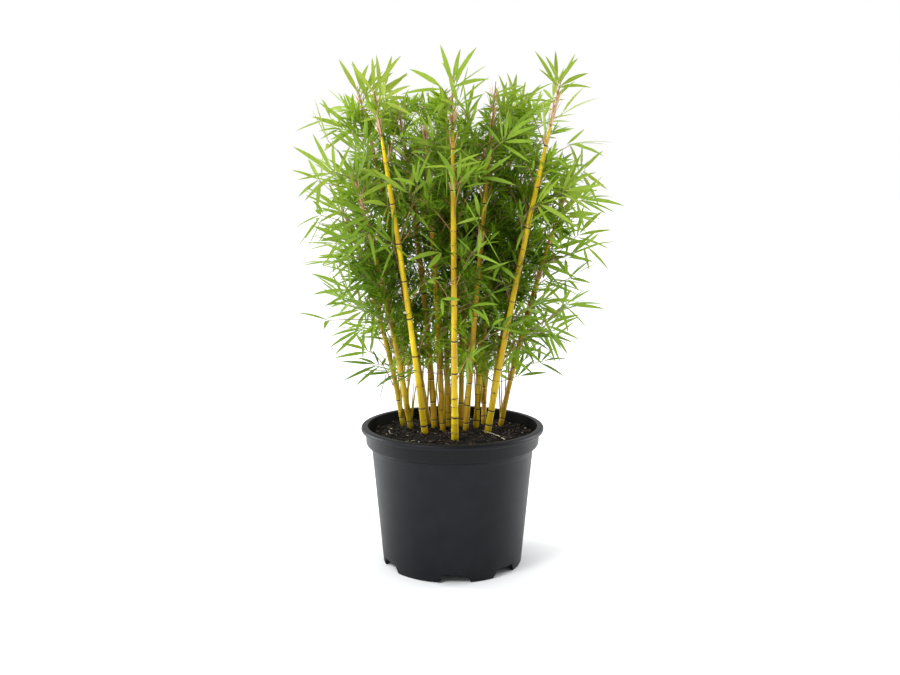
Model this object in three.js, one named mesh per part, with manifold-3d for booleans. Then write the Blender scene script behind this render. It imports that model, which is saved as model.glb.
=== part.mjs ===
// A clump of golden bamboo in a black nursery pot: canes with leafy branches, standing in potting soil.
// Millimetres, +Z up, the front of the plant towards -Y. The origin is on the ground under the pot's middle.
import * as THREE from "three";
import { mergeVertices } from "three/addons/utils/BufferGeometryUtils.js";
import Module from "manifold-3d";

const wasm = await Module();
wasm.setup();

// ---------- Driving dimensions ----------

const CLEARANCE = 0.3; // between pieces that touch
const UP = new THREE.Vector3(0, 0, 1);
const BACK = new THREE.Vector3(0, 1, 0);

const pot = {
  height: 230,
  wall: 3,
  rimRadius: 150, // the rolled lip
  rimDepth: 9,
  mouthRadius: 138, // inside the lip
  collarRadius: 143, // the straight band under the lip
  collarFoot: 199,
  shoulderRadius: 133, // where the tapered side meets the collar
  baseRadius: 115,
  padRadius: 70, // the floor's middle rests on the ground
  floorHeight: 10, // and the rest is raised between it and the foot ring
  sides: 48,
};

const notch = {
  azimuths: [2, 47, 98, 149, 200, 251, 298], // degrees from the front, towards +X
  topWidth: 37,
  footWidth: 50,
  height: 14,
  depth: 17,
};

const SOIL_LEVEL = 213;

// Each cane: its foot [x, y] on the soil, its tip [x, y, z], the radius at its foot, how far its lean grows
// with height, and how many side sprays it bears under the one at its tip.
const canes = [
  { foot: [-84, 62], tip: [-161, 68, 520], radius: 4.6, bow: 0.41, sprays: 3 },
  { foot: [-70, 36], tip: [-136, -34, 567], radius: 4.8, bow: 0.27, sprays: 2 },
  { foot: [-45, 0], tip: [-109, -55, 693], radius: 5.6, bow: 0.14, sprays: 2 },
  { foot: [-40, 66], tip: [-137, 59, 703], radius: 4.8, bow: 0.18, sprays: 1 },
  { foot: [-30, 42], tip: [-83, 118, 697], radius: 5.2, bow: 0.5, sprays: 1 },
  { foot: [-16, 18], tip: [-42, 18, 680], radius: 4.8, bow: 0.36, sprays: 1 },
  { foot: [-6, 44], tip: [-23, 152, 645], radius: 4.8, bow: 0.36, sprays: 1 },
  { foot: [4, -48], tip: [0, -92, 701], radius: 5.8, bow: 0.18, sprays: 3 },
  { foot: [14, 48], tip: [24, 81, 675], radius: 4.6, bow: 0.18, sprays: 0 },
  { foot: [22, 22], tip: [61, -5, 703], radius: 5, bow: 0.09, sprays: 0 },
  { foot: [40, 40], tip: [100, 110, 680], radius: 5, bow: 0.63, sprays: 1 },
  { foot: [54, 72], tip: [64, 162, 585], radius: 4.4, bow: 0.45, sprays: 3 },
  { foot: [62, 44], tip: [124, 87, 545], radius: 4.6, bow: 0.45, sprays: 1 },
  { foot: [58, 8], tip: [151, -40, 709], radius: 5.6, bow: 0.14, sprays: 3 },
  { foot: [82, 58], tip: [173, 46, 565], radius: 4.6, bow: 0.27, sprays: 3 },
];

const cane = {
  sides: 6,
  taper: 0.25, // share of the radius lost along the cane
  tipTaper: 0.4, // and once more in its last joint
  lowestRing: 14, // above the soil
  firstJoint: 24,
  jointGrowth: 1.28, // each joint over the one below, up to the longest
  longestJoint: 62,
  ringSwell: 1.14,
  ringHeight: 2.4, // from the swollen ring to the narrow neck over it
  neck: 0.96,
};

const crown = {
  bottom: 270,
  top: 832,
  radius: 284, // at its widest
  centre: [-4, 20],
};

const spray = {
  lowest: 0.15, // share of the cane's height where the lowest spray may leave it
  highest: 0.8,
  rise: 66, // degrees above level at the foot of the stem
  arch: 0.36, // how far the stem sinks below that line, as a share of its length
  shortest: 70,
  longest: 150,
  choices: 60, // stems tried for each side spray, of which the one with the most space is grown
  berth: 30, // between a side stem's end and the canes
  tip: 78, // length of the stem at a cane's tip
  stations: 3,
  stemRadius: 2.6,
  twigRadius: 1.2,
  twigLength: 24,
  firstTwig: 0.22, // share of the stem
  lastTwig: 0.95,
  twigStep: 0.618, // from one twig to the next, so that they fill the stem evenly
  twigTurn: 2.4, // and the radians between them
  tries: 24, // twigs tried on each stem
  fan: [ // the leaves on a twig's sides: radians from its way, and share of its length
    { yaw: 0.8, place: 0.8 },
    { yaw: -0.8, place: 0.62 },
  ],
  leaves: 10,
  margin: 2.4, // between one spray's space and the next
};

const leaf = {
  length: 76,
  width: 15,
  thickness: 1.4,
  widest: 0.34,
  droop: 0.1,
  sizes: [1, 0.8, 0.62], // shares of the full length, the largest that fits being grown
  neck: 0.6, // radius where it leaves its twig
  berth: 3.5, // from the canes
  apart: 8, // from the spray's other leaves
  stray: 0.25,
  roll: 1, // how far a blade leans to either side, against 1 upwards
};

// ---------- Helpers ----------

const radians = THREE.MathUtils.degToRad;
const mix = THREE.MathUtils.lerp;

// Numbers from 0 to 1 that follow from a seed, the same on every run.
function seeded(seed) {
  let state = seed;
  return () => {
    state = (state + 0x6d2b79f5) | 0;
    let t = Math.imul(state ^ (state >>> 15), 1 | state);
    t = (t + Math.imul(t ^ (t >>> 7), 61 | t)) ^ t;
    return ((t ^ (t >>> 14)) >>> 0) / 2 ** 32;
  };
}

function toSolid(geometry) {
  const bare = geometry.clone();
  bare.deleteAttribute("normal");
  bare.deleteAttribute("uv");
  const merged = mergeVertices(bare, 1e-3);
  const vertProperties = merged.attributes.position.array;
  const faces = [];
  for (let i = 0; i < merged.index.count; i += 3) {
    const [a, b, c] = merged.index.array.slice(i, i + 3);
    if (a !== b && b !== c && c !== a) faces.push(a, b, c);
  }
  const triVerts = new Uint32Array(faces);
  return new wasm.Manifold(new wasm.Mesh({ numProp: 3, vertProperties, triVerts }));
}

function toGeometry(solid) {
  const mesh = solid.getMesh();
  const geometry = new THREE.BufferGeometry();
  geometry.setAttribute("position", new THREE.BufferAttribute(mesh.vertProperties, 3));
  geometry.setIndex(new THREE.BufferAttribute(mesh.triVerts, 1));
  geometry.computeVertexNormals();
  return geometry;
}

// A tapering tube through stations of { point, along, radius, flat }: a cylinder bent row by row. Its broad
// side lies square to the reference, and flat is its section's thickness over its width.
function limb(stations, sides, reference) {
  const rows = stations.length - 1;
  const geometry = new THREE.CylinderGeometry(1, 1, 1, sides, rows);
  const vertices = geometry.attributes.position;
  const vertex = new THREE.Vector3();
  const frame = new THREE.Matrix4();
  for (let i = 0; i < vertices.count; i++) {
    vertex.fromBufferAttribute(vertices, i);
    const { point, along, radius, flat = 1 } = stations[Math.round((vertex.y + 0.5) * rows)];
    const across = new THREE.Vector3().crossVectors(along, reference).normalize();
    const normal = new THREE.Vector3().crossVectors(across, along);
    frame.makeBasis(across, along, normal).setPosition(point);
    vertex.set(vertex.x * radius, 0, vertex.z * radius * flat).applyMatrix4(frame);
    vertices.setXYZ(i, vertex.x, vertex.y, vertex.z);
  }
  return geometry;
}

// ---------- Pot and soil ----------

function potProfile() {
  const p = pot;
  const inner = (radius) => radius - p.wall;
  const lip = p.height - p.rimDepth;
  const floorTop = p.floorHeight + p.wall;
  return [
    [0, 0],
    [p.padRadius, 0],
    [p.padRadius + p.wall, p.floorHeight],
    [p.baseRadius - 2 * p.wall, p.floorHeight],
    [p.baseRadius - 1.6 * p.wall, 0],
    [p.baseRadius - 0.4 * p.wall, 0],
    [p.baseRadius, p.wall],
    [p.shoulderRadius, p.collarFoot - p.wall],
    [p.collarRadius - 1, p.collarFoot + p.wall],
    [p.collarRadius, lip],
    [p.rimRadius - 1, lip],
    [p.rimRadius, p.height - 4],
    [p.rimRadius - 3, p.height],
    [p.mouthRadius + 1, p.height],
    [p.mouthRadius, p.height - 2],
    [p.mouthRadius, p.collarFoot + 2 * p.wall],
    [inner(p.shoulderRadius), p.collarFoot - p.wall],
    [inner(p.baseRadius) + 1, floorTop],
    [p.padRadius, floorTop],
    [inner(p.padRadius), p.wall],
    [0, p.wall],
  ];
}

function lathe(profile) {
  const points = profile.map(([r, z]) => new THREE.Vector2(r, z));
  return new THREE.LatheGeometry(points, pot.sides).rotateX(Math.PI / 2);
}

// One drain notch: a wedge that is wider at the ground, pushed through the foot ring and the floor's edge.
function notchCutter(azimuth) {
  const below = 2;
  const flare = (notch.footWidth - notch.topWidth) / notch.height;
  const half = (z) => (notch.footWidth - flare * z) / 2;
  const outline = new THREE.Shape();
  outline.moveTo(-half(-below), -below);
  outline.lineTo(half(-below), -below);
  outline.lineTo(half(notch.height), notch.height);
  outline.lineTo(-half(notch.height), notch.height);
  const cutter = new THREE.ExtrudeGeometry(outline, { depth: 2 * notch.depth, bevelEnabled: false });
  cutter.rotateX(Math.PI / 2); // the outline now stands upright and the wedge runs along -Y
  cutter.translate(0, notch.depth - pot.baseRadius, 0);
  return cutter.rotateZ(radians(azimuth));
}

function makePot() {
  const cutters = notch.azimuths.map((azimuth) => toSolid(notchCutter(azimuth)));
  return toGeometry(toSolid(lathe(potProfile())).subtract(wasm.Manifold.union(cutters)));
}

function makeSoil() {
  const p = pot;
  const fit = p.wall + CLEARANCE * 1.5;
  const foot = p.floorHeight + p.wall + CLEARANCE;
  return lathe([
    [0, p.wall + CLEARANCE],
    [p.padRadius - p.wall - CLEARANCE, p.wall + CLEARANCE],
    [p.padRadius - CLEARANCE, foot],
    [p.baseRadius - fit, foot],
    [p.shoulderRadius - fit, p.collarFoot - p.wall],
    [p.mouthRadius - 1.5 * CLEARANCE, p.collarFoot + 2 * p.wall],
    [p.mouthRadius - 1.5 * CLEARANCE, SOIL_LEVEL],
    [0, SOIL_LEVEL],
  ]);
}

// ---------- Canes ----------

// The middle of a cane at a share of its height.
function caneAt(c, share) {
  const reach = share * (1 - c.bow) + share * share * c.bow;
  return new THREE.Vector3(
    mix(c.foot[0], c.tip[0], reach),
    mix(c.foot[1], c.tip[1], reach),
    mix(SOIL_LEVEL + CLEARANCE, c.tip[2], share),
  );
}

function caneRadius(c, share) {
  return c.radius * (1 - cane.taper * share - cane.tipTaper * share ** 12);
}

function caneAlong(c, share) {
  const step = 0.01;
  return caneAt(c, share + step).sub(caneAt(c, share - step)).normalize();
}

const caneHeight = (c) => c.tip[2] - SOIL_LEVEL;

// Heights of the rings over the soil: close together at the foot, then a full joint apart.
function ringHeights(c, index) {
  const random = seeded(900 + index);
  const heights = [];
  let joint = cane.firstJoint * (0.8 + 0.5 * random());
  for (let z = cane.lowestRing; z < caneHeight(c) - 0.4 * cane.longestJoint; z += joint) {
    const longest = cane.longestJoint * (0.92 + 0.12 * random());
    if (heights.length) joint = Math.min(joint * cane.jointGrowth, longest);
    heights.push(z);
  }
  return heights;
}

function makeCane(c, index, extra = 0) {
  const at = (z, swell) => {
    const share = z / caneHeight(c);
    const along = z === 0 ? UP : caneAlong(c, share);
    return { point: caneAt(c, share), along, radius: caneRadius(c, share) * swell + extra };
  };
  const stations = [at(0, 1)];
  for (const z of ringHeights(c, index)) {
    stations.push(at(z, cane.ringSwell), at(z + cane.ringHeight, cane.neck));
  }
  stations.push(at(caneHeight(c), 1));
  return limb(stations, cane.sides, BACK);
}

// How far a point stands from the nearest cane's skin.
function gapToCanes(point, besides = null) {
  let gap = Infinity;
  for (const c of canes) {
    if (c === besides) continue;
    const share = THREE.MathUtils.clamp((point.z - SOIL_LEVEL) / caneHeight(c), 0, 1);
    gap = Math.min(gap, caneAt(c, share).distanceTo(point) * 0.95 - caneRadius(c, share) * cane.ringSwell);
  }
  return gap;
}

// ---------- The crown's outline ----------

function crownRadius(z) {
  const share = (z - crown.bottom) / (crown.top - crown.bottom);
  if (share < 0 || share > 1) return 0;
  return crown.radius * Math.sin(Math.PI * (0.16 + 0.62 * share)) ** 0.8;
}

function insideCrown(point) {
  const away = Math.hypot(point.x - crown.centre[0], point.y - crown.centre[1]);
  return away < crownRadius(point.z);
}

// ---------- Sprays of foliage ----------

// The stem of a side spray: it climbs away from the cane and arches over.
function sideStem(root, azimuth, reach) {
  const level = Math.cos(radians(spray.rise));
  const climb = Math.sin(radians(spray.rise));
  return (share) => {
    const out = reach * level * share;
    const up = reach * (climb * share - spray.arch * share * share);
    return root.clone().add(new THREE.Vector3(out * Math.cos(azimuth), out * Math.sin(azimuth), up));
  };
}

// The stem of the spray at a cane's tip: it carries the cane on.
function tipStem(root, along, reach) {
  return (share) => root.clone().addScaledVector(along, reach * share);
}

// A stem's line and the stations that mark its space.
function newSpray(owner, line, reach, seed) {
  const stations = Array.from({ length: spray.stations }, (_, i) => line(i / (spray.stations - 1)));
  const alongAt = (share) => line(share + 0.05).sub(line(share - 0.05)).normalize();
  const onStem = (share) => {
    const rows = stations.length - 1;
    const row = Math.min(Math.floor(share * rows), rows - 1);
    return stations[row].clone().lerp(stations[row + 1], share * rows - row);
  };
  return { owner, line, alongAt, onStem, reach, seed, stations };
}

// How far a stem stands from all the stems so far, or 0 where it would leave the crown or meet a cane.
function room(c, line, reach, made) {
  const beyond = line(1 + (0.5 * leaf.length) / reach);
  const clear = [0.35, 0.7, 1].every((share) => gapToCanes(line(share), c) > spray.berth * share);
  if (!insideCrown(beyond) || !clear) return 0;
  return Math.min(...made.map((m) => Math.min(toStations(m, line(1)), 1.3 * toStations(m, line(0.6)))));
}

// The side stem with the most room around it, of many tried on a cane.
function roomiestStem(c, seed, made) {
  const random = seeded(seed);
  let best = { space: 0 };
  for (let i = 0; i < spray.choices; i++) {
    const root = caneAt(c, mix(spray.lowest, spray.highest, random()));
    const reach = mix(spray.shortest, spray.longest, random());
    const line = sideStem(root, 2 * Math.PI * random(), reach);
    const space = room(c, line, reach, made);
    if (space > best.space) best = { space, line, reach };
  }
  return best;
}

function placeSprays() {
  const made = [];
  canes.forEach((c, i) => {
    const along = caneAlong(c, 1);
    const root = caneAt(c, 1).addScaledVector(along, CLEARANCE);
    made.push(newSpray(null, tipStem(root, along, spray.tip), spray.tip, 100 + i));
    made.at(-1).name = `${caneName(i)}_tip_foliage`;
  });
  for (const k of [0, 1, 2]) {
    canes.forEach((c, i) => {
      if (c.sprays <= k) return;
      const { line, reach } = roomiestStem(c, 200 + 10 * i + k, made);
      if (line) made.push(newSpray(c, line, reach, 400 + 10 * i + k));
    });
  }
  canes.forEach((c, i) => {
    const own = made.filter((s) => s.owner === c).sort((a, b) => a.stations[0].z - b.stations[0].z);
    const places = own.length < 3 ? ["low", "high"] : ["low", "middle", "high"];
    own.forEach((s, k) => (s.name = `${caneName(i)}_${places[k]}_foliage`));
  });
  return made;
}

function caneName(index) {
  return `cane_${String(index + 1).padStart(2, "0")}`;
}

const toStations = (s, point) => Math.min(...s.stations.map((p) => p.distanceTo(point)));

// Whether a point lies in a spray's own space, which is nearer to its stem than to any other.
function inSpace(own, sprays, point) {
  const near = toStations(own, point) + spray.margin;
  return insideCrown(point) && sprays.every((s) => s === own || toStations(s, point) > near);
}

// Leaves low in the crown hang and leaves at its top stand up.
const lift = (z) => mix(-0.45, 1.1, ((z - crown.bottom) / (crown.top - crown.bottom)) ** 1.5);

// Whether a leaf or twig stays in its spray's space and keeps a berth from the canes.
function clearRun({ own, sprays }, foot, direction, length, berth) {
  return [0.3, 0.55, 0.8, 1].every((share) => {
    const point = foot.clone().addScaledVector(direction, length * share);
    point.z -= leaf.droop * length * share * share;
    return gapToCanes(point) > berth && inSpace(own, sprays, point);
  });
}

// The two last stations of a leaf: its widest place, and its point, which droops.
function blade(foot, aim, size) {
  const length = leaf.length * size;
  const radius = (leaf.width * size) / Math.sqrt(3);
  return [leaf.widest, 1].map((share) => {
    const point = foot.clone().addScaledVector(aim, length * share);
    point.z -= leaf.droop * length * share * share;
    return { point, along: aim, radius: share < 1 ? radius : 0, flat: leaf.thickness / (1.5 * radius) };
  });
}

const spread = (random, amount) => amount * (2 * random() - 1);

// The way a leaf points: turned from its twig's way, and lifted or hung by its height in the crown.
function leafAim({ random }, foot, direction, yaw) {
  const aim = direction.clone().applyAxisAngle(UP, yaw + spread(random, leaf.stray));
  aim.z = 0.35 * aim.z + lift(foot.z) * (0.6 + 0.5 * random()) + spread(random, leaf.stray);
  return aim.normalize();
}

// The way up of a leaf's face, rolled to either side.
function leafRoll({ random }) {
  return new THREE.Vector3(spread(random, leaf.roll), spread(random, leaf.roll), 1);
}

// The largest leaf that keeps to its space and clear of the canes and the spray's other leaves, or none.
function growLeaf(growth, foot, aim) {
  for (const size of leaf.sizes.map((full) => full * (0.9 + 0.2 * growth.random()))) {
    const length = leaf.length * size;
    const run = [0.25, 0.5, 0.75, 1].map((share) => foot.clone().addScaledVector(aim, length * share));
    const crosses = (other) => other.some((p) => run.some((q) => p.distanceTo(q) < leaf.apart));
    if (growth.runs.some(crosses) || !clearRun(growth, foot, aim, length, leaf.berth)) continue;
    growth.runs.push(run);
    return blade(foot, aim, size);
  }
  return null;
}

// The stem, which runs on into a leaf where one has room.
function growStem(growth) {
  const { own } = growth;
  const rows = own.stations.length - 1;
  const stem = own.stations.map((point, i) => {
    return { point, along: own.alongAt(i / rows), radius: spray.stemRadius * mix(1, 0.8, i / rows) };
  });
  const end = own.stations[rows];
  const endLeaf = growLeaf(growth, end, leafAim(growth, end, own.alongAt(1), 0)) ?? [];
  return limb([...stem, ...endLeaf], 3, own.owner ? UP : BACK);
}

// One twig, the leaf that it runs on into and the leaves on its sides, or nothing where they have no room.
function growTwig(growth, order) {
  const { own, random } = growth;
  const share = mix(spray.lastTwig, spray.firstTwig, (spray.twigStep * order) % 1);
  const turn = spray.twigTurn * order + spread(random, 0.3);
  const out = new THREE.Vector3(Math.cos(turn), Math.sin(turn), spread(random, 0.5));
  const direction = out.addScaledVector(own.alongAt(share), own.owner ? 0.5 : 1).normalize();
  const foot = own.onStem(share);
  const length = spray.twigLength * (0.5 + 0.7 * random());
  if (!clearRun(growth, foot, direction, length, 2 * spray.twigRadius)) return [];
  const end = foot.clone().addScaledVector(direction, length);
  const endLeaf = growLeaf(growth, end, leafAim(growth, foot, direction, 0));
  if (!endLeaf) return [];
  const twig = [foot, end].map((point) => ({ point, along: direction, radius: spray.twigRadius }));
  const pieces = [limb([...twig, ...endLeaf], 3, leafRoll(growth))];
  for (const { yaw, place } of spray.fan) {
    if (growth.runs.length >= spray.leaves) break;
    const point = foot.clone().addScaledVector(direction, length * place);
    const aim = leafAim(growth, foot, direction, yaw);
    const sideLeaf = growLeaf(growth, point, aim);
    if (!sideLeaf) continue;
    const neck = { point, along: aim, radius: leaf.neck };
    pieces.push(limb([neck, ...sideLeaf], 3, leafRoll(growth)));
  }
  return pieces;
}

// One spray, fused to a single body and cut clear of the cane that bears it.
function makeSpray(own, sprays) {
  const growth = { own, sprays, random: seeded(own.seed), runs: [] };
  const pieces = [growStem(growth)];
  for (let order = 0; order < spray.tries && growth.runs.length < spray.leaves; order++) {
    pieces.push(...growTwig(growth, order));
  }
  let fused = wasm.Manifold.union(pieces.map(toSolid));
  if (own.owner) fused = fused.subtract(toSolid(makeCane(own.owner, canes.indexOf(own.owner), CLEARANCE)));
  const bodies = fused.decompose().sort((a, b) => b.volume() - a.volume());
  return toGeometry(bodies[0].simplify(0.03));
}

// ---------- The plant ----------

const plant = new THREE.Group();

const finish = {
  pot: new THREE.MeshStandardMaterial({ color: 0x26272a, roughness: 0.45, metalness: 0 }),
  soil: new THREE.MeshStandardMaterial({ color: 0x2b1d12, roughness: 0.95, metalness: 0 }),
  cane: new THREE.MeshStandardMaterial({ color: 0xd8b32a, roughness: 0.4, metalness: 0 }),
  foliage: new THREE.MeshStandardMaterial({ color: 0x6f9a35, roughness: 0.55, metalness: 0 }),
};

function add(name, geometry, material) {
  const mesh = new THREE.Mesh(geometry, material);
  mesh.name = name;
  plant.add(mesh);
}

add("pot", makePot(), finish.pot);
add("soil", makeSoil(), finish.soil);
canes.forEach((c, i) => add(caneName(i), makeCane(c, i), finish.cane));
const sprays = placeSprays();
for (const s of sprays) add(s.name, makeSpray(s, sprays), finish.foliage);

export default plant;
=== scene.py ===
# %% [markdown]
# # A potted golden bamboo
#
# The object is a young clump of golden bamboo in a black nursery pot, about 0.83 m tall. Its hard frame,
# with the pot, the soil, fifteen canes and forty plain sprays, comes ready made and is loaded first. This
# lesson then dresses it: a moulded pot, crumbly soil, canes with rings and relief, fine twigs and some
# 25,000 leaves. Each dressed piece stands exactly where the plain one stands, so nothing has to be fitted
# by eye.

import math

import bmesh
import bpy
import numpy as np
from mathutils import Matrix, Vector, noise


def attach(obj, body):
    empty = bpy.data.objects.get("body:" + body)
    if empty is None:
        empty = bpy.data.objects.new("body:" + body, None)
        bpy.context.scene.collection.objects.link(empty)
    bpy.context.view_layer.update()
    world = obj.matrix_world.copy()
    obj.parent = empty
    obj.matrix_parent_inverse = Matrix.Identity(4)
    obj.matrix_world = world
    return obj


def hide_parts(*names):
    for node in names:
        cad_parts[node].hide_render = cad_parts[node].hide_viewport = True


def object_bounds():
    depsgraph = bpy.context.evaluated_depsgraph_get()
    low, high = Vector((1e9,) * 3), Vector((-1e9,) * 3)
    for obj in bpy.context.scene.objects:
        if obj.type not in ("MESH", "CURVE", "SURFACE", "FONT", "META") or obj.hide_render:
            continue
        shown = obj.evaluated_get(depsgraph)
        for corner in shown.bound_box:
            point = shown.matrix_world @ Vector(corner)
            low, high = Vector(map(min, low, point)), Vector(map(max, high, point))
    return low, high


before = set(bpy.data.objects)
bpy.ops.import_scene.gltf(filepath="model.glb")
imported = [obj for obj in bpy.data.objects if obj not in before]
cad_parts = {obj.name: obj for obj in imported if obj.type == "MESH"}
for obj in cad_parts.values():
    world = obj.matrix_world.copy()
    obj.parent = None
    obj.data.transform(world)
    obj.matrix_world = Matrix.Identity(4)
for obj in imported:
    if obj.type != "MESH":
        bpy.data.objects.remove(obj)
cad_box = [list(corner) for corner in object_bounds()]
MM = 0.001  # the plant is worked out in millimetres and modelled in metres
print("The frame's box in metres:", [[round(x, 3) for x in corner] for corner in cad_box])

# %% [markdown]
# ## Camera
#
# The plant is looked at from a little above the middle of its crown, from 1.7 m away, with the camera
# tilted down so that the pot's rim shows as a narrow ellipse. A lens and a place in metres fix such a view
# for good, whereas a camera aimed by hand would drift with every change. There is no shift and no blur, so
# other views work too.

# %% Place the camera
CAMERA_PLACE = (-0.004, -1.70, 0.622)
CAMERA_TILT = 8.3  # degrees down


def link(thing):
    bpy.context.scene.collection.objects.link(thing)


camera_data = bpy.data.cameras.new("view_camera")
camera_data.sensor_width = 36
camera_data.lens = 42.2
camera_data.clip_end = 200
camera = bpy.data.objects.new("view_camera", camera_data)
camera.location = CAMERA_PLACE
camera.rotation_euler = (math.radians(90 - CAMERA_TILT), 0, 0)
link(camera)
bpy.context.scene.camera = camera
print("Camera at", CAMERA_PLACE, "tilted down", CAMERA_TILT, "degrees")

# %% [markdown]
# ## Studio
#
# A catalogue picture of a plant has a white ground that fades into a white background, and soft light from
# all round with a little more from the upper left. The sky gives the even part and large area lamps give
# the rest. Two tall lamps stand level with the pot and a little behind it, because black plastic shows its
# form only by the bright bands at its two sides. The Standard view keeps the white ground white and the
# yellow canes clean.

# %% Build the studio
SKY_STRENGTH = 1.0
FRONT_STRENGTH = 0.35  # the side behind the camera is darker
SKY_FADE = (-0.95, 0.1)  # from where to where along Y the sky brightens
LAMPS = [  # name, place, target, size, watts
    ("key_lamp", (-1.5, -1.6, 2.2), (0, 0, 0.45), (0.9, 0.9), 50),
    ("left_lamp", (-1.5, 0.55, 0.5), (0, 0, 0.3), (0.5, 1.3), 25),
    ("right_lamp", (1.5, 0.55, 0.5), (0, 0, 0.3), (0.5, 1.3), 19),
    ("top_lamp", (0.2, 0.4, 2.4), (0, 0, 0.6), (1.2, 1.2), 20),
]


def studio_world():
    world = bpy.data.worlds.new("studio_sky")
    world.use_nodes = True
    tree = world.node_tree
    tree.nodes.clear()
    way = tree.nodes.new("ShaderNodeTexCoord")
    parts = tree.nodes.new("ShaderNodeSeparateXYZ")
    depth = tree.nodes.new("ShaderNodeMapRange")
    ends = ("From Min", "From Max", "To Min", "To Max")
    for name, value in zip(ends, (*SKY_FADE, FRONT_STRENGTH, SKY_STRENGTH)):
        depth.inputs[name].default_value = value
    light = tree.nodes.new("ShaderNodeBackground")
    light.inputs["Color"].default_value = (1, 1, 1, 1)
    tree.links.new(way.outputs["Generated"], parts.inputs[0])
    tree.links.new(parts.outputs["Y"], depth.inputs["Value"])
    tree.links.new(depth.outputs[0], light.inputs["Strength"])
    backdrop = tree.nodes.new("ShaderNodeBackground")
    backdrop.inputs["Color"].default_value = (1, 1, 1, 1)
    seen = tree.nodes.new("ShaderNodeLightPath")
    choose = tree.nodes.new("ShaderNodeMixShader")
    output = tree.nodes.new("ShaderNodeOutputWorld")
    tree.links.new(seen.outputs["Is Camera Ray"], choose.inputs["Fac"])
    tree.links.new(light.outputs[0], choose.inputs[1])
    tree.links.new(backdrop.outputs[0], choose.inputs[2])
    tree.links.new(choose.outputs[0], output.inputs["Surface"])
    return world


def softbox(name, place, target, size, watts):
    data = bpy.data.lights.new(name, "AREA")
    data.shape = "RECTANGLE"
    data.size, data.size_y = size
    data.energy = watts
    lamp = bpy.data.objects.new(name, data)
    lamp.location = place
    lamp.rotation_euler = (Vector(target) - Vector(place)).to_track_quat("-Z", "Y").to_euler()
    link(lamp)


bpy.context.scene.world = studio_world()
bpy.context.scene.view_settings.view_transform = "Standard"
for settings in LAMPS:
    softbox(*settings)
print("Sky strength", SKY_STRENGTH, "and", len(LAMPS), "lamps")

# %% [markdown]
# ## Writing finishes as sums
#
# A finish is a net of nodes, and most of its nodes only add, multiply or blend. Dragging wires for each of
# them hides the idea, so a small class wraps a node's output and lets Python's own signs add the nodes.
# One method makes every other kind of node: it takes the kind, its settings, and the values or outputs for
# its sockets.

# %% Wrap sockets and nodes


def paint(red, green, blue):
    """A colour given as on a screen, from 0 to 255, in the linear form that shaders use."""
    def linear(level):
        share = level / 255
        return share / 12.92 if share <= 0.04045 else ((share + 0.055) / 1.055) ** 2.4
    return (linear(red), linear(green), linear(blue), 1)


class Socket:
    """A node's output, which can be added, multiplied and so on like a number."""

    def __init__(self, finish, output):
        self.finish = finish
        self.output = output

    def sum(self, operation, first, second):
        return self.finish.node("ShaderNodeMath", {"operation": operation}, (first, second))

    def __add__(self, other):
        return self.sum("ADD", self, other)

    def __sub__(self, other):
        return self.sum("SUBTRACT", self, other)

    def __rsub__(self, other):
        return self.sum("SUBTRACT", other, self)

    def __mul__(self, other):
        return self.sum("MULTIPLY", self, other)

    __radd__ = __add__
    __rmul__ = __mul__

    def between(self, low, high):
        """0 below low, 1 above high and a straight way between, for high below low too."""
        inputs = {"Value": self, "From Min": low, "From Max": high}
        return self.finish.node("ShaderNodeMapRange", {"clamp": True}, inputs)


class Finish:
    """A material with a Principled shader, and the nodes that lead to it."""

    def __init__(self, name):
        self.material = bpy.data.materials.new(name)
        self.material.use_nodes = True
        self.tree = self.material.node_tree
        self.shader = self.tree.nodes["Principled BSDF"]
        self.out = self.tree.nodes["Material Output"]

    def feed(self, socket, value):
        if isinstance(value, Socket):
            self.tree.links.new(value.output, socket)
        else:
            socket.default_value = value

    def node(self, kind, settings=None, inputs=(), output=0):
        made = self.tree.nodes.new(kind)
        for key, value in (settings or {}).items():
            setattr(made, key, value)
        pairs = inputs.items() if isinstance(inputs, dict) else enumerate(inputs)
        for key, value in pairs:
            self.feed(made.inputs[key], value)
        return Socket(self, made.outputs[output])

    def blend(self, share, first, second):
        inputs = {0: share, 6: first, 7: second}
        return self.node("ShaderNodeMix", {"data_type": "RGBA"}, inputs, output=2)

    def grain(self, scale, stretch=(1, 1, 1), detail=2.0, place=(0, 0, 0)):
        """Noise from 0 to 1 on the piece's own coordinates, stretched where stretch is small."""
        where = self.node("ShaderNodeTexCoord", output="Object")
        turned = self.node("ShaderNodeMapping", {}, {"Vector": where, "Location": place, "Scale": stretch})
        return self.node("ShaderNodeTexNoise", {}, {"Vector": turned, "Scale": scale, "Detail": detail})

    def height(self):
        where = self.node("ShaderNodeTexCoord", output="Object")
        return self.node("ShaderNodeSeparateXYZ", {}, (where,), output="Z")

    def away(self):
        """How far a place lies from the upright line through the origin."""
        where = self.node("ShaderNodeTexCoord", output="Object")
        level = self.node("ShaderNodeVectorMath", {"operation": "MULTIPLY"}, (where, (1, 1, 0)))
        return self.node("ShaderNodeVectorMath", {"operation": "LENGTH"}, (level,), output="Value")

    def bump(self, relief, depth, strength=1.0):
        return self.node("ShaderNodeBump", {}, {"Height": relief, "Distance": depth, "Strength": strength})

    def set(self, values):
        for name, value in values.items():
            self.feed(self.shader.inputs[name], value)
        return self


print("Finishes are written as sums from here on")

# %% [markdown]
# ## Showing a finished mesh
#
# Every piece ends the same way. Its mesh gets its finishes, rides on the one body that the plant has,
# and hides the plain solids that it stands for. One helper does this for all of them, so that no piece is
# forgotten. Objects stay at the origin, unturned, with their place in the mesh.

# %% Finish a piece
PIECES = {}


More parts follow.
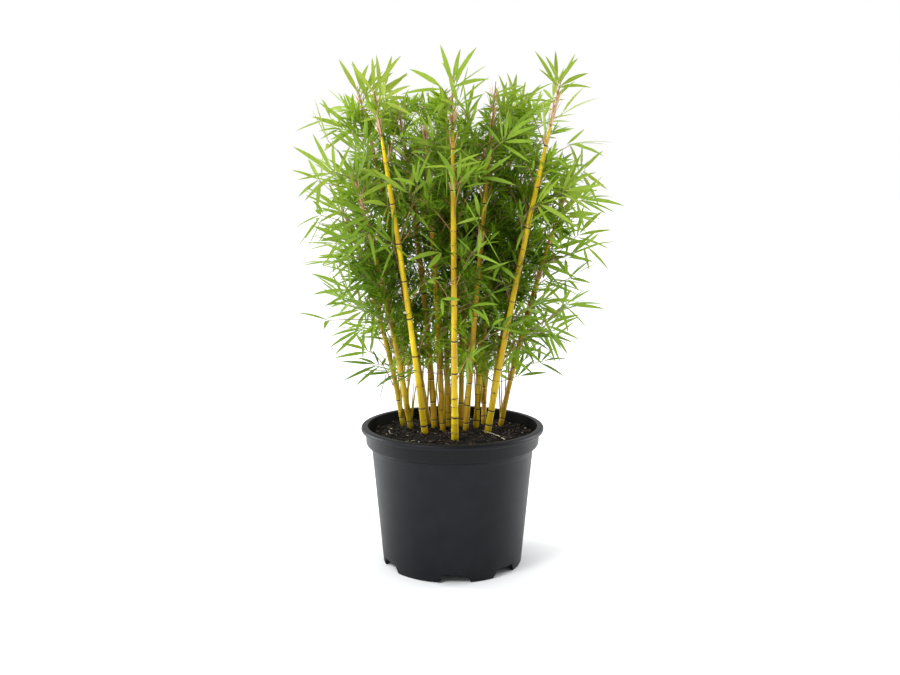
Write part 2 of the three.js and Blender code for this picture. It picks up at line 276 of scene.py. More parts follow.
def show(name, mesh, finishes, nodes):
    piece = bpy.data.objects.new(name, mesh)
    for finish in finishes:
        mesh.materials.append(finish.material)
    link(piece)
    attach(piece, "root")
    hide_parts(*nodes)
    triangles = sum(len(face.vertices) - 2 for face in mesh.polygons)
    PIECES[name] = triangles
    print(f"{name}: {triangles} triangles")


def from_bmesh(name, bm):
    mesh = bpy.data.meshes.new(name)
    bm.to_mesh(mesh)
    bm.free()
    mesh.shade_smooth()
    return mesh


print("Nodes in the frame:", len(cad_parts))

# %% [markdown]
# ## The pot
#
# The pot is injection moulded: a thin tapering wall, a straight band under a rolled lip, and a foot ring
# with drain notches. It could be a cylinder with loop cuts, but its whole form lies in one outline, so the
# outline is drawn once and spun. The hard corners of a mould are never quite sharp. A small bevel on each
# ring of edges catches the light as the real corners do.

# %% Spin an outline
POT_SIDES = 144
POT_OUTLINE = [  # radius and height in millimetres, from the middle of the floor round to the inside
    (0, 0), (70, 0), (73, 10), (109, 10), (110.2, 0), (113.8, 0), (115, 3),
    (116.8, 22), (123.2, 90), (128.8, 150), (132.6, 190),
    (134.8, 193.4), (135.4, 196.4), (140.6, 199.6), (142, 202.5), (143, 220.4), (147.6, 220.9), (149.6, 223),
    (150, 226), (148.8, 229), (146.4, 230), (139.6, 230), (138.2, 228.6), (138, 205), (130, 196), (113, 13),
    (70, 13), (67, 3), (0, 3),
]


def spun(outline, sides):
    bm = bmesh.new()
    corners = [bm.verts.new((radius * MM, 0, height * MM)) for radius, height in outline]
    edges = [bm.edges.new(pair) for pair in zip(corners, corners[1:])]
    bmesh.ops.spin(bm, geom=corners + edges, cent=(0, 0, 0), axis=(0, 0, 1), angle=2 * math.pi, steps=sides,
                   use_merge=True)
    bmesh.ops.remove_doubles(bm, verts=bm.verts, dist=1e-6)
    bmesh.ops.recalc_face_normals(bm, faces=bm.faces)
    return bm


def soften_rings(bm, angle, width):
    """Bevels the level rings of edges where the outline turns by more than an angle in degrees."""
    rings = [e for e in bm.edges if abs(e.verts[0].co.z - e.verts[1].co.z) < 1e-7
             and abs(e.verts[0].co.xy.length - e.verts[1].co.xy.length) < 1e-7
             and len(e.link_faces) == 2 and e.calc_face_angle() > math.radians(angle)]
    bmesh.ops.bevel(bm, geom=rings, offset=width * MM, segments=2, profile=0.5, affect="EDGES", material=-1,
                    clamp_overlap=True)


pot_bm = spun(POT_OUTLINE, POT_SIDES)
soften_rings(pot_bm, angle=24, width=0.7)
pot_mesh = from_bmesh("dressed_pot", pot_bm)
print("The pot's wall has", len(pot_mesh.polygons), "faces")

# %% [markdown]
# ## Drain notches
#
# Water leaves by seven notches in the foot, each a wedge that widens towards the ground with rounded upper
# corners. They could be modelled into the ring face by face, but a notch is a cut, and a Boolean cuts. The
# cutters start as cubes, are tapered and bevelled, and are taken away from the wall together.

# %% Cut the notches
NOTCH_TURNS = [2, 47, 98, 149, 200, 251, 298]  # degrees from the front, towards +X
NOTCH_TOP, NOTCH_FOOT, NOTCH_HEIGHT, NOTCH_DEPTH = 37, 50, 14, 17
NOTCH_BELOW = 2  # how far a cutter passes the ground
BASE_RADIUS = 115
CORNER_RADIUS = 3
SOFT_WIDTH, SOFT_ANGLE, SHARP_ANGLE = 0.5, 50, 38


def notch_cutter(bm, turn):
    cube = bmesh.ops.create_cube(bm, size=1)["verts"]
    flare = (NOTCH_FOOT - NOTCH_TOP) / NOTCH_HEIGHT
    for vertex in cube:
        high = vertex.co.z > 0
        width = NOTCH_TOP if high else NOTCH_FOOT + flare * NOTCH_BELOW
        vertex.co.x *= width * MM
        vertex.co.y = (vertex.co.y * 2 * NOTCH_DEPTH - BASE_RADIUS) * MM
        vertex.co.z = (NOTCH_HEIGHT if high else -NOTCH_BELOW) * MM
    top = [e for e in {e for v in cube for e in v.link_edges}
           if all(v.co.z > 0 for v in e.verts) and abs(e.verts[0].co.y - e.verts[1].co.y) > MM]
    rounded = bmesh.ops.bevel(bm, geom=top, offset=CORNER_RADIUS * MM, segments=4, profile=0.5,
                              affect="EDGES", material=-1)
    verts = {v for f in rounded["faces"] for v in f.verts} | {v for v in cube if v.is_valid}
    round_the_pot = Matrix.Rotation(math.radians(turn), 3, "Z")
    bmesh.ops.rotate(bm, verts=list(verts), cent=(0, 0, 0), matrix=round_the_pot)


def cut(name, mesh, cutter_mesh):
    body = bpy.data.objects.new("uncut", mesh)
    cutter = bpy.data.objects.new("cutter", cutter_mesh)
    link(body)
    link(cutter)
    boolean = body.modifiers.new("notches", "BOOLEAN")
    boolean.operation = "DIFFERENCE"
    boolean.solver = "EXACT"
    boolean.object = cutter
    chamfer = body.modifiers.new("soft_edges", "BEVEL")
    chamfer.width = SOFT_WIDTH * MM
    chamfer.segments = 2
    chamfer.limit_method = "ANGLE"
    chamfer.angle_limit = math.radians(SOFT_ANGLE)
    bpy.context.view_layer.update()
    whole = bpy.data.meshes.new_from_object(body.evaluated_get(bpy.context.evaluated_depsgraph_get()))
    whole.name = name
    bpy.data.objects.remove(body)
    bpy.data.objects.remove(cutter)
    return whole


notch_bm = bmesh.new()
for turn in NOTCH_TURNS:
    notch_cutter(notch_bm, turn)
bmesh.ops.recalc_face_normals(notch_bm, faces=notch_bm.faces)
pot_mesh = cut("dressed_pot_cut", pot_mesh, from_bmesh("notch_cutters", notch_bm))
pot_mesh.shade_smooth()
pot_mesh.set_sharp_from_angle(angle=math.radians(SHARP_ANGLE))
print(len(NOTCH_TURNS), "notches cut:", len(pot_mesh.polygons), "faces")

# %% [markdown]
# ## Black plastic
#
# Nursery pots are moulded from recycled plastic. The surface is close to black, dull, with a soft sheen,
# the faintest mottling where the melt cooled and a thin film of dust. A flat black would look like a hole,
# so fine noise moves the roughness and the colour a little, and a very shallow bump breaks up the
# highlight. The band under the lip and the inside are found by their height and their distance from the
# middle, and are painted darker still: painted shade under the lip and inside the pot.

# %% Mix the plastic
# where the painted shade under the lip and inside the pot starts and ends
BAND_FOOT, BAND_TOP, INSIDE_FOOT, EDGE = 0.199, 0.219, 0.203, 0.003  # metres, as shaders use
INSIDE_RADIUS, INSIDE_EDGE = 0.1396, 0.001


def plastic_finish():
    plastic = Finish("black_pot_plastic")
    mottle = plastic.grain(34, detail=4)
    streaks = plastic.grain(9, stretch=(1, 1, 0.12), detail=3, place=(3, 1, 0))
    pores = plastic.grain(900, detail=2)
    dust = (mottle * 0.6 + streaks * 0.4).between(0.42, 0.78)
    colour = plastic.blend(dust, paint(13, 15, 20), paint(23, 26, 31))
    height = plastic.height()
    painted_lip_shade = height.between(BAND_FOOT, BAND_FOOT + EDGE) - height.between(BAND_TOP, BAND_TOP + EDGE)
    within = plastic.away().between(INSIDE_RADIUS, INSIDE_RADIUS - INSIDE_EDGE)
    inside = within * height.between(INSIDE_FOOT, INSIDE_FOOT + EDGE)
    # painted shade: the band under the lip is darkened for the shadow that the lip casts on it
    colour = plastic.blend(painted_lip_shade * 0.8, colour, paint(5, 5, 7))
    # painted shade: the inside wall is darkened for the shade inside the pot; the same mask also roughens it
    colour = plastic.blend(inside * 0.9, colour, paint(2, 2, 3))
    relief = pores * 0.5 + mottle * 0.5
    return plastic.set({
        "Base Color": colour,
        "Roughness": 0.38 + mottle * 0.16 + inside * 0.4,
        "Specular IOR Level": 0.17,
        "Normal": plastic.bump(relief, 0.0004, 0.35),
    })


show("dressed_pot", pot_mesh, [plastic_finish()], ["pot"])

# %% [markdown]
# ## Numbers that look like chance
#
# The frame's sprays were grown by a rule with seeded numbers, and the fine twigs have to start from the
# same stems. The same small generator is written again here, so that every draw comes out as it did there.
# It is also used for everything else that is strewn or varied, so each run gives the same plant.

# %% Repeat the seeded generator
MASK = 0xFFFFFFFF


def seeded(seed):
    state = seed & MASK

    def draw():
        nonlocal state
        state = (state + 0x6D2B79F5) & MASK
        mixed = ((state ^ (state >> 15)) * (1 | state)) & MASK
        mixed = ((mixed + (((mixed ^ (mixed >> 7)) * (61 | mixed)) & MASK)) & MASK) ^ mixed
        return ((mixed ^ (mixed >> 14)) & MASK) / 2 ** 32

    return draw


def mix(first, second, share):
    return first * (1 - share) + second * share


def spread(random, amount):
    return amount * (2 * random() - 1)


print("First draws of seed 100:", [round(seeded(100)(), 4), round(seeded(101)(), 4)])

# %% [markdown]
# ## The soil
#
# Potting soil fills the pot to a little under the lip. Its body is spun like the pot, with a finely
# divided top that noise lifts into lumps, a little higher round the canes where it was pressed. The wall
# side and the underside stay plain because the pot hides them.

# %% Heap the soil
SOIL_LEVEL, SOIL_RADIUS = 213, 137.4
SOIL_SIDES, SOIL_RINGS = 120, 34
TOP_DIP = 2.5  # how far under its level the flat top starts
HEAP_HEIGHT, LUMP_HEIGHT, GRAIN_HEIGHT = 1.5, 2.8, 1.1
HEAP_RADIUS = 110
SOIL_OUTLINE = [
    (0, 3.3), (66.7, 3.3), (69.7, 13.3), (111.5, 13.3), (129.5, 196),
    (SOIL_RADIUS, 205), (SOIL_RADIUS, 208.5),
]
soil_top = [(SOIL_RADIUS * (1 - k / SOIL_RINGS), SOIL_LEVEL - TOP_DIP) for k in range(SOIL_RINGS + 1)]
soil_bm = spun(SOIL_OUTLINE + soil_top, SOIL_SIDES)


def soil_height(x, y):
    """The height of the soil in millimetres over a place in the pot."""
    away = math.hypot(x, y)
    lumps = noise.fractal(Vector((x * 0.045, y * 0.045, 3.1)), 0.9, 2.1, 4)
    crumbs = noise.noise(Vector((x * 0.35, y * 0.35, 7.7)))
    heap = HEAP_HEIGHT * max(0, 1 - (away / HEAP_RADIUS) ** 2)
    return SOIL_LEVEL + heap + LUMP_HEIGHT * lumps + GRAIN_HEIGHT * crumbs


for vertex in soil_bm.verts:
    if vertex.co.z > (SOIL_LEVEL - TOP_DIP - 0.1) * MM:
        vertex.co.z = soil_height(vertex.co.x / MM, vertex.co.y / MM) * MM
soil_mesh = from_bmesh("dressed_soil", soil_bm)
print("The soil stands at", round(soil_height(0, 0), 1), "mm in the middle and at",
      round(soil_height(120, 0), 1), "mm near the wall")

# %% [markdown]
# ## Repeating a small shape
#
# Crumbs, bark chips, twigs and leaves come in hundreds or thousands. Copying objects would bury the file,
# and instances get lost when a model is saved in other formats. So one small shape is modelled with
# ordinary operators and read into arrays, and numpy lays out all its copies at once in a single joined
# mesh.

# %% Join many copies


class Shape:
    """One small shape as arrays: its points, and its faces as counts and corners."""

    def __init__(self, bm):
        bm.verts.index_update()
        self.points = np.array([tuple(v.co) for v in bm.verts])
        self.counts = np.array([len(f.verts) for f in bm.faces])
        self.corners = np.array([v.index for f in bm.faces for v in f.verts])
        bm.free()


def joined(name, shape, points):
    """One mesh from copies of a shape, given as an array of copies by vertices by three, in millimetres."""
    copies, size, _ = points.shape
    mesh = bpy.data.meshes.new(name)
    mesh.vertices.add(copies * size)
    mesh.vertices.foreach_set("co", (points * MM).astype(np.float32).ravel())
    corners = (shape.corners[None, :] + size * np.arange(copies)[:, None]).ravel()
    mesh.loops.add(len(corners))
    mesh.loops.foreach_set("vertex_index", corners.astype(np.int32))
    counts = np.tile(shape.counts, copies)
    starts = np.concatenate([[0], np.cumsum(counts)[:-1]])
    mesh.polygons.add(len(counts))
    mesh.polygons.foreach_set("loop_start", starts.astype(np.int32))
    mesh.update(calc_edges=True)
    mesh.shade_smooth()
    return mesh


def unit(vectors):
    return vectors / np.linalg.norm(vectors, axis=-1, keepdims=True)


def crumb_shape():
    bm = bmesh.new()
    bmesh.ops.create_icosphere(bm, subdivisions=1, radius=0.5)
    for vertex in bm.verts:
        vertex.co *= 1 + 0.35 * noise.noise(vertex.co * 3.7)
    return Shape(bm)


def chip_shape():
    bm = bmesh.new()
    bmesh.ops.create_cube(bm, size=1)
    long_edges = [e for e in bm.edges if abs(e.verts[0].co.x - e.verts[1].co.x) > 0.5]
    bmesh.ops.subdivide_edges(bm, edges=long_edges, cuts=1)
    for vertex in bm.verts:
        vertex.co += Vector((0.1, 0.22, 0.2)) * noise.noise(vertex.co * 2.3 + Vector((5, 1, 2)))
        vertex.co.y *= 1 - 0.5 * abs(vertex.co.x)
    return Shape(bm)


CRUMB, CHIP = crumb_shape(), chip_shape()
print("A crumb has", len(CRUMB.counts), "faces and a chip", len(CHIP.counts))

# %% [markdown]
# ## Crumbs and chips
#
# What makes soil look like soil is what lies on it: dark crumbs of peat, slivers of brown bark and a few
# pale bits, which also stand in for glints of light on the soil as painted highlights. They are strewn with a
# seed, each with its own turn, tilt and size, more or less sunk into the lumps.

# %% Strew the soil
STREWN_RADIUS = 134


def strewn(shape, seed, count, lengths, widths, rise):
    """Copies of a shape strewn over the soil: a range of lengths, of widths as shares of the length, and the
    share of the thickness by which a copy's middle stands over the soil."""
    rng = np.random.default_rng(seed)
    away = STREWN_RADIUS * np.sqrt(rng.random(count))
    turn = 2 * np.pi * rng.random(count)
    x, y = away * np.cos(turn), away * np.sin(turn)
    ground = np.array([soil_height(a, b) for a, b in zip(x, y)])
    length = mix(*lengths, rng.random(count) ** 2)
    across = length * mix(*widths, rng.random(count))
    thick = across * mix(0.45, 0.8, rng.random(count))
    yaw = 2 * np.pi * rng.random(count)
    tilt = 0.35 * rng.standard_normal(count)
    forward = np.stack([np.cos(yaw) * np.cos(tilt), np.sin(yaw) * np.cos(tilt), np.sin(tilt)], axis=1)
    side = np.stack([-np.sin(yaw), np.cos(yaw), np.zeros(count)], axis=1)
    up = np.cross(forward, side)
    axes = np.stack([forward * length[:, None], side * across[:, None], up * thick[:, None]], axis=1)
    centre = np.stack([x, y, ground + thick * rise], axis=1)
    return centre[:, None, :] + np.einsum("vk,nkj->nvj", shape.points, axes)


def soil_finish(name, dark, light, rough):
    soil = Finish(name)
    patches = soil.grain(260, detail=3)
    colour = soil.blend(patches.between(0.35, 0.7), dark, light)
    return soil.set({
        "Base Color": colour,
        "Roughness": rough,
        "Specular IOR Level": 0.25,
        "Normal": soil.bump(soil.grain(700, detail=3), 0.0006, 0.6),
    })


peat = soil_finish("dark_peat", paint(6, 5, 3), paint(25, 18, 12), 0.75)
bark = soil_finish("brown_bark", paint(30, 20, 13), paint(76, 54, 35), 0.65)
# pale bits, partly painted highlights that stand for glints on the soil; the straws use this finish too
pale = soil_finish("pale_bits", paint(166, 154, 130), paint(226, 218, 200), 0.6)
show("dressed_soil", soil_mesh, [peat], ["soil"])
STREWN = [  # name, finish, shape, seed, count, lengths, widths, rise
    ("peat_crumbs", peat, CRUMB, 11, 4600, (1.4, 7.0), (0.6, 1.0), 0.25),
    ("bark_chips", bark, CHIP, 12, 560, (2.0, 10), (0.22, 0.5), 0.45),
    # the pale bits are partly painted highlights for glints on the soil
    ("pale_bits", pale, CHIP, 13, 190, (1.0, 5.0), (0.25, 0.6), 0.6),
]
for name, finish, shape, *layout in STREWN:
    show(name, joined(name, shape, strewn(shape, *layout)), [finish], ["soil"])

# %% [markdown]
# ## A dry straw
#
# One long straw lies across the soil on the right, and three short ones lie elsewhere. A straw is a thin
# tube, slightly bent and held up by the lumps it crosses. It starts as a cylinder that is divided along
# its length, and each ring of its points is then moved to its own place between the straw's two ends,
# above the soil there.

# %% Lay the straws
STRAWS = [  # one end's x and y, the other end's, and the radius
    (49, 12, 84, -50, 1.0), (96, -30, 70, -18, 0.6), (-60, -48, -84, -60, 0.6), (20, -84, 44, -92, 0.5),
]
STRAW_ROWS, STRAW_SIDES = 14, 6
STRAW_BEND, STRAW_FLATNESS = 0.06, 0.6  # shares of the length and of the width


def straw_mesh():
    bm = bmesh.new()
    for x0, y0, x1, y1, radius in STRAWS:
        earlier = len(bm.verts)
        made = bmesh.ops.create_cone(bm, cap_ends=True, segments=STRAW_SIDES, radius1=1, radius2=1, depth=1)
        edges = {e for v in made["verts"] for e in v.link_edges}
        upright = [e for e in edges if abs(e.verts[0].co.z - e.verts[1].co.z) > 0.5]
        bmesh.ops.subdivide_edges(bm, edges=upright, cuts=STRAW_ROWS - 1)
        heights = [soil_height(mix(x0, x1, s), mix(y0, y1, s)) for s in (0.0, 0.25, 0.5, 0.75, 1.0)]
        low, high = max(heights[:3]) + radius, max(heights[2:]) + radius
        along = Vector((x1 - x0, y1 - y0, high - low))
        side = Vector((-along.y, along.x, 0)).normalized()
        for vertex in list(bm.verts)[earlier:]:
            share = vertex.co.z + 0.5
            centre = Vector((x0, y0, low)) + along * share
            centre += side * STRAW_BEND * along.length * math.sin(math.pi * share)
            up = Vector((0, 0, vertex.co.y * radius * STRAW_FLATNESS))
            vertex.co = (centre + side * vertex.co.x * radius + up) * MM
    bmesh.ops.recalc_face_normals(bm, faces=bm.faces)
    return from_bmesh("dry_straws", bm)


show("dry_straws", straw_mesh(), [pale], ["soil"])

# %% [markdown]
# ## Lines of the canes
#
# Fifteen canes stand in the soil. Each leans from its foot to its tip and its lean grows with height,
# which one number, its bow, sets. The same few numbers and sums as in the frame are written again here,
# because the dressed canes, the stems and the twigs all have to follow them.

# %% Repeat the canes' sums
SEATING = 0.3  # how far over the soil a cane starts, and a stem from its cane's tip
CANES = [  # foot x, y; tip x, y, z; radius at the foot; bow; side sprays
    (-84, 62, -161, 68, 520, 4.6, 0.41, 3),
    (-70, 36, -136, -34, 567, 4.8, 0.27, 2),
    (-45, 0, -109, -55, 693, 5.6, 0.14, 2),
    (-40, 66, -137, 59, 703, 4.8, 0.18, 1),
    (-30, 42, -83, 118, 697, 5.2, 0.5, 1),
    (-16, 18, -42, 18, 680, 4.8, 0.36, 1),
    (-6, 44, -23, 152, 645, 4.8, 0.36, 1),
    (4, -48, 0, -92, 701, 5.8, 0.18, 3),
    (14, 48, 24, 81, 675, 4.6, 0.18, 0),
    (22, 22, 61, -5, 703, 5, 0.09, 0),
    (40, 40, 100, 110, 680, 5, 0.63, 1),
    (54, 72, 64, 162, 585, 4.4, 0.45, 3),
    (62, 44, 124, 87, 545, 4.6, 0.45, 1),
    (58, 8, 151, -40, 709, 5.6, 0.14, 3),
    (82, 58, 173, 46, 565, 4.6, 0.27, 3),
]
TABLE = np.array(CANES, float)
FEET, TIPS, RADII, BOWS = TABLE[:, 0:2], TABLE[:, 2:5], TABLE[:, 5], TABLE[:, 6]
HEIGHTS = TIPS[:, 2] - SOIL_LEVEL
CANE_TAPER, TIP_TAPER = 0.25, 0.4
FIRST_RING, FIRST_JOINT, FULL_JOINT, JOINT_GROWTH = 14, 24, 62, 1.28
RING_SWELL = 1.14
SLANT = 0.95  # a leaning cane is a little nearer than a level measure says


def bowed(share, bow):
    """How much of its lean a cane has at a share of its height."""
    return share * (1 - bow) + share * share * bow


def narrowed(share):
    return 1 - CANE_TAPER * share - TIP_TAPER * share ** 12


def cane_at(i, share):
    reach = bowed(share, BOWS[i])
    return np.array([
        mix(FEET[i, 0], TIPS[i, 0], reach),
        mix(FEET[i, 1], TIPS[i, 1], reach),
        mix(SOIL_LEVEL + SEATING, TIPS[i, 2], share),
    ])


def cane_radius(i, share):
    return RADII[i] * narrowed(share)


def cane_along(i, share):
    return unit(cane_at(i, share + 0.01) - cane_at(i, share - 0.01))


def ring_heights(i):
    """Heights of the rings over the soil: close together at the foot, then a full joint apart."""
    random = seeded(900 + i)
    heights = []
    joint = FIRST_JOINT * (0.8 + 0.5 * random())
    height = FIRST_RING
    while height < HEIGHTS[i] - 0.4 * FULL_JOINT:
        longest = FULL_JOINT * (0.92 + 0.12 * random())
        if heights:
            joint = min(joint * JOINT_GROWTH, longest)
        heights.append(height)
        height += joint
    return heights


def gap_to_canes(points, besides=None):
    """How far each point stands from the nearest cane's skin."""
    points = np.asarray(points, float).reshape(-1, 3)
    share = np.clip((points[:, 2:3] - SOIL_LEVEL) / HEIGHTS[None, :], 0, 1)
    reach = bowed(share, BOWS)
    x = mix(FEET[:, 0], TIPS[:, 0], reach) - points[:, 0:1]
    y = mix(FEET[:, 1], TIPS[:, 1], reach) - points[:, 1:2]
    z = mix(SOIL_LEVEL + SEATING, TIPS[:, 2], share) - points[:, 2:3]
    gap = SLANT * np.sqrt(x * x + y * y + z * z) - RADII * narrowed(share) * RING_SWELL
    if besides is not None:
        gap[:, besides] = np.inf
    return gap.min(axis=1)


print("Rings on each cane:", [len(ring_heights(i)) for i in range(len(CANES))])

# %% [markdown]
# ## Canes with rings
#
# A bamboo cane is a smooth tube in joints. Each joint ends in a ring: a thin raised scar where the old
# sheath sat, dark with age, a narrow groove over it, then a soft swelling that the next joint grows out
# of, and often a pale waxy line just below. The cane is drawn out of one circle, ring by ring, along its
# own line. Each short band between two rings gets the material that it has on the plant.

# %% Draw out the canes
CANE_SIDES = 16
SKIN, SCAR, WAX, FAINT = 0, 1, 2, 3
RING_PROFILE = [  # height from the ring in millimetres, radius, finish of the band that ends there
    (-4.4, 1.0, SKIN),
    (-2.2, 1.0, SKIN),
    (-0.9, 1.03, WAX),
    (-0.5, 1.12, SCAR),
    (0.2, 1.14, SCAR),
    (0.6, 1.0, SCAR),
    (1.3, 0.99, SCAR),
    (2.4, 1.07, SKIN),
    (4.2, 1.05, SKIN),
    (7.0, 1.0, SKIN),
]
FAINT_PROFILE = [
    (-1.6, 1.0, SKIN),
    (-0.5, 1.03, SKIN),
    (0.0, 1.05, FAINT),
    (0.6, 1.0, FAINT),
    (2.2, 1.0, SKIN),
]
OPEN_CANES = [2, 7, 13]  # the front ones, which stand clear of most leaves
CANE_BELOW, CANE_ABOVE = 4.0, 1.0  # how far a cane goes on into the soil and into its tip's stem
FAINT_JOINT = 24  # the shortest joint that may have a faint ring
RING_SPAN = 8  # the bands of one ring lie closer together than this
SLIMMER, SLIM_FROM = 0.12, 0.35  # by how much the front canes draw in, and from which share of the height


def ring_stations(i):
    """Stations up a cane, from just below the soil's lumps: height, radius and the finish of each band."""
    random = seeded(1200 + i)
    stations = [(-CANE_BELOW, 1.0, SKIN)]
    heights = ring_heights(i)
    for number, height in enumerate(heights):
        bold = mix(0.7, 1.3, random()) * (1.0 if i in OPEN_CANES else 0.75)
        worn = random() < (0.25 if i in OPEN_CANES else 0.45)
        for rise, swell, finish in RING_PROFILE:
            shown = FAINT if worn and finish == SCAR else SKIN if worn and finish == WAX else finish
            stations.append((height + rise * (bold if finish == SCAR else 1), swell, shown))
        ahead = heights[number + 1] if number + 1 < len(heights) else HEIGHTS[i]
        if ahead - height > FAINT_JOINT:
            between = height + (ahead - height) * mix(0.35, 0.65, random())
            faint = random() < 0.7
            stations += [(between + rise, swell, finish) for rise, swell, finish in FAINT_PROFILE if faint]
    stations.append((HEIGHTS[i] + CANE_ABOVE, 1.0, SKIN))
    return sorted(stations, key=lambda station: station[0])


def slim(i, share):
    """The long front canes draw in a little above the foot."""
    return 1 - SLIMMER * min(1, max(0, share / SLIM_FROM)) if i in OPEN_CANES else 1


def cane_frame(i, height, swell, lean):
    """The matrix that puts a unit circle round a cane at a height."""
    share = height / HEIGHTS[i]
    along = Vector(cane_along(i, share)) + Vector((lean[0], lean[1], 0))
    along.normalize()
    across = along.cross(Vector((0, 1, 0))).normalized()
    normal = across.cross(along)
    radius = cane_radius(i, share) * slim(i, share) * swell * MM
    turned = Matrix((across, -normal, along)).transposed().to_4x4()
    moved = Matrix.Translation(Vector(cane_at(i, share)) * MM)
    return moved @ turned @ Matrix.Diagonal((radius, radius, radius, 1))


def cane_mesh(i):
    bm = bmesh.new()
    bmesh.ops.create_circle(bm, cap_ends=True, segments=CANE_SIDES, radius=1)
    random = seeded(1300 + i)
    ring = list(bm.verts)
    rim = list(bm.edges)
    place = Matrix.Identity(4)
    lean, last = (0, 0), None
    for height, swell, finish in ring_stations(i):
        if last is None or height - last > RING_SPAN:
            lean = (spread(random, 0.07), spread(random, 0.07))
        if last is not None:
            drawn = bmesh.ops.extrude_edge_only(bm, edges=rim)["geom"]
            ring = [g for g in drawn if isinstance(g, bmesh.types.BMVert)]
            rim = [g for g in drawn if isinstance(g, bmesh.types.BMEdge)]
            for face in (g for g in drawn if isinstance(g, bmesh.types.BMFace)):
                face.material_index = finish
        ahead = cane_frame(i, height, swell, lean)
        bmesh.ops.transform(bm, matrix=ahead @ place.inverted(), verts=ring)
        place, last = ahead, height
    bmesh.ops.edgeloop_fill(bm, edges=rim)
    bmesh.ops.recalc_face_normals(bm, faces=bm.faces)
    return from_bmesh(f"dressed_cane_{i + 1:02d}", bm)


CANE_MESHES = [cane_mesh(i) for i in range(len(CANES))]
print("Canes drawn:", len(CANE_MESHES))

# %% [markdown]
# ## Skins of the canes
#
# Golden bamboo ripens from olive green to bright yellow on the sunny side of the clump, never evenly. Most
# canes at the back get a darker amber skin, which is partly their own colour and partly painted shade for
# the crown and the front canes that shade them. Three skins are enough when each varies along the cane:
# slow blotches of a second colour, fine streaks that run with the fibres, and a duller foot. The scars are
# dark brown and rough, and the waxy line is a pale matt yellow.

# %% Mix the skins


def skin_finish(name, bright, deep, foot, blotches):
    skin = Finish(name)
    fibres = skin.grain(420, stretch=(1, 1, 0.03), detail=2)
    slow = skin.grain(15, stretch=(1, 1, 0.7), detail=2, place=(0.3, 0.7, blotches))
    ripe = skin.blend(slow.between(0.38, 0.66), bright, deep)
    young = skin.height().between(0.36, 0.22) * slow.between(0.3, 0.62)
    colour = skin.blend(young * 0.8, ripe, foot)
    patches = skin.grain(70, stretch=(1, 1, 0.3), detail=4, place=(blotches, 2, 5))
    mottled = skin.blend(patches.between(0.46, 0.66) * 0.65, colour, deep)
    streaked = skin.blend(fibres.between(0.5, 0.75) * 0.5, mottled, deep)
    return skin.set({
        "Base Color": streaked,
        "Roughness": 0.3 + fibres * 0.2,
        "Specular IOR Level": 0.3,
        "Normal": skin.bump(fibres, 0.0003, 0.3),
    })


def scar_finish():
    scar = Finish("ring_scar")
    worn = scar.grain(500, detail=3)
    colour = scar.blend(worn.between(0.4, 0.7), paint(40, 28, 14), paint(92, 64, 30))
    return scar.set({"Base Color": colour, "Roughness": 0.75})


def wax_finish():
    wax = Finish("waxy_line")
    patchy = wax.grain(300, detail=2)
    colour = wax.blend(patchy.between(0.4, 0.62), paint(228, 208, 110), paint(214, 184, 70))
    return wax.set({"Base Color": colour, "Roughness": 0.7})


def faint_finish():
    faint = Finish("faint_ring")
    worn = faint.grain(260, detail=2)
    colour = faint.blend(worn.between(0.42, 0.6), paint(96, 76, 28), paint(206, 166, 46))
    return faint.set({"Base Color": colour, "Roughness": 0.7})


golden = skin_finish("golden_skin", paint(236, 210, 14), paint(190, 153, 10), paint(216, 191, 24), 0.1)
# amber: partly the canes' own colour, partly painted shade for the canes at the back
amber_painted_shade = skin_finish("amber_skin", paint(208, 168, 18), paint(146, 104, 12), paint(190, 160, 28), 0.4)
olive = skin_finish("olive_skin", paint(192, 166, 26), paint(136, 112, 16), paint(178, 164, 34), 0.8)
scar, wax, faint = scar_finish(), wax_finish(), faint_finish()
# the front canes are golden; most canes at the back take the amber skin, which is partly painted shade
SKINS = [
    olive, olive, golden, amber_painted_shade, amber_painted_shade, amber_painted_shade, amber_painted_shade, golden,
    amber_painted_shade, amber_painted_shade, golden, amber_painted_shade, amber_painted_shade, golden, amber_painted_shade,
]
for i, mesh in enumerate(CANE_MESHES):
    show(f"dressed_cane_{i + 1:02d}", mesh, [SKINS[i], scar, wax, faint], [f"cane_{i + 1:02d}"])

# %% [markdown]
# ## The crown's outline and its stems
#
# The crown is widest above its middle and narrows to the pot and to the top. Forty stems carry it in the
# frame, one at each cane's tip and the rest on the canes' sides, each where it had the most room. The rule
# that placed them is run again, so that the fine growth starts from the very same stems.

# %% Place the stems again
CROWN_BOTTOM, CROWN_TOP, CROWN_RADIUS = 270, 832, 284
CROWN_MIDDLE = (-4, 20)
SWELL_FROM, SWELL_OVER, SWELL_POWER = 0.16, 0.62, 0.8  # the stretch of a sine wave that the outline follows
LEAF_REACH, TIP_REACH = 76, 78
ROOT_SHARES, STEM_REACHES, STEM_TRIES = (0.15, 0.8), (70, 150), 60
STEM_CLEARANCE = 30  # from the other canes at a stem's end, and less nearer its root


def crown_radius(z):
    share = (np.asarray(z) - CROWN_BOTTOM) / (CROWN_TOP - CROWN_BOTTOM)
    inside = (share >= 0) & (share <= 1)
    swell = np.sin(np.pi * (SWELL_FROM + SWELL_OVER * np.clip(share, 0, 1))) ** SWELL_POWER
    return np.where(inside, CROWN_RADIUS * swell, 0)


def inside_crown(points, past=0.0):
    points = np.asarray(points, float).reshape(-1, 3)
    away = np.hypot(points[:, 0] - CROWN_MIDDLE[0], points[:, 1] - CROWN_MIDDLE[1])
    return away < crown_radius(points[:, 2]) + past


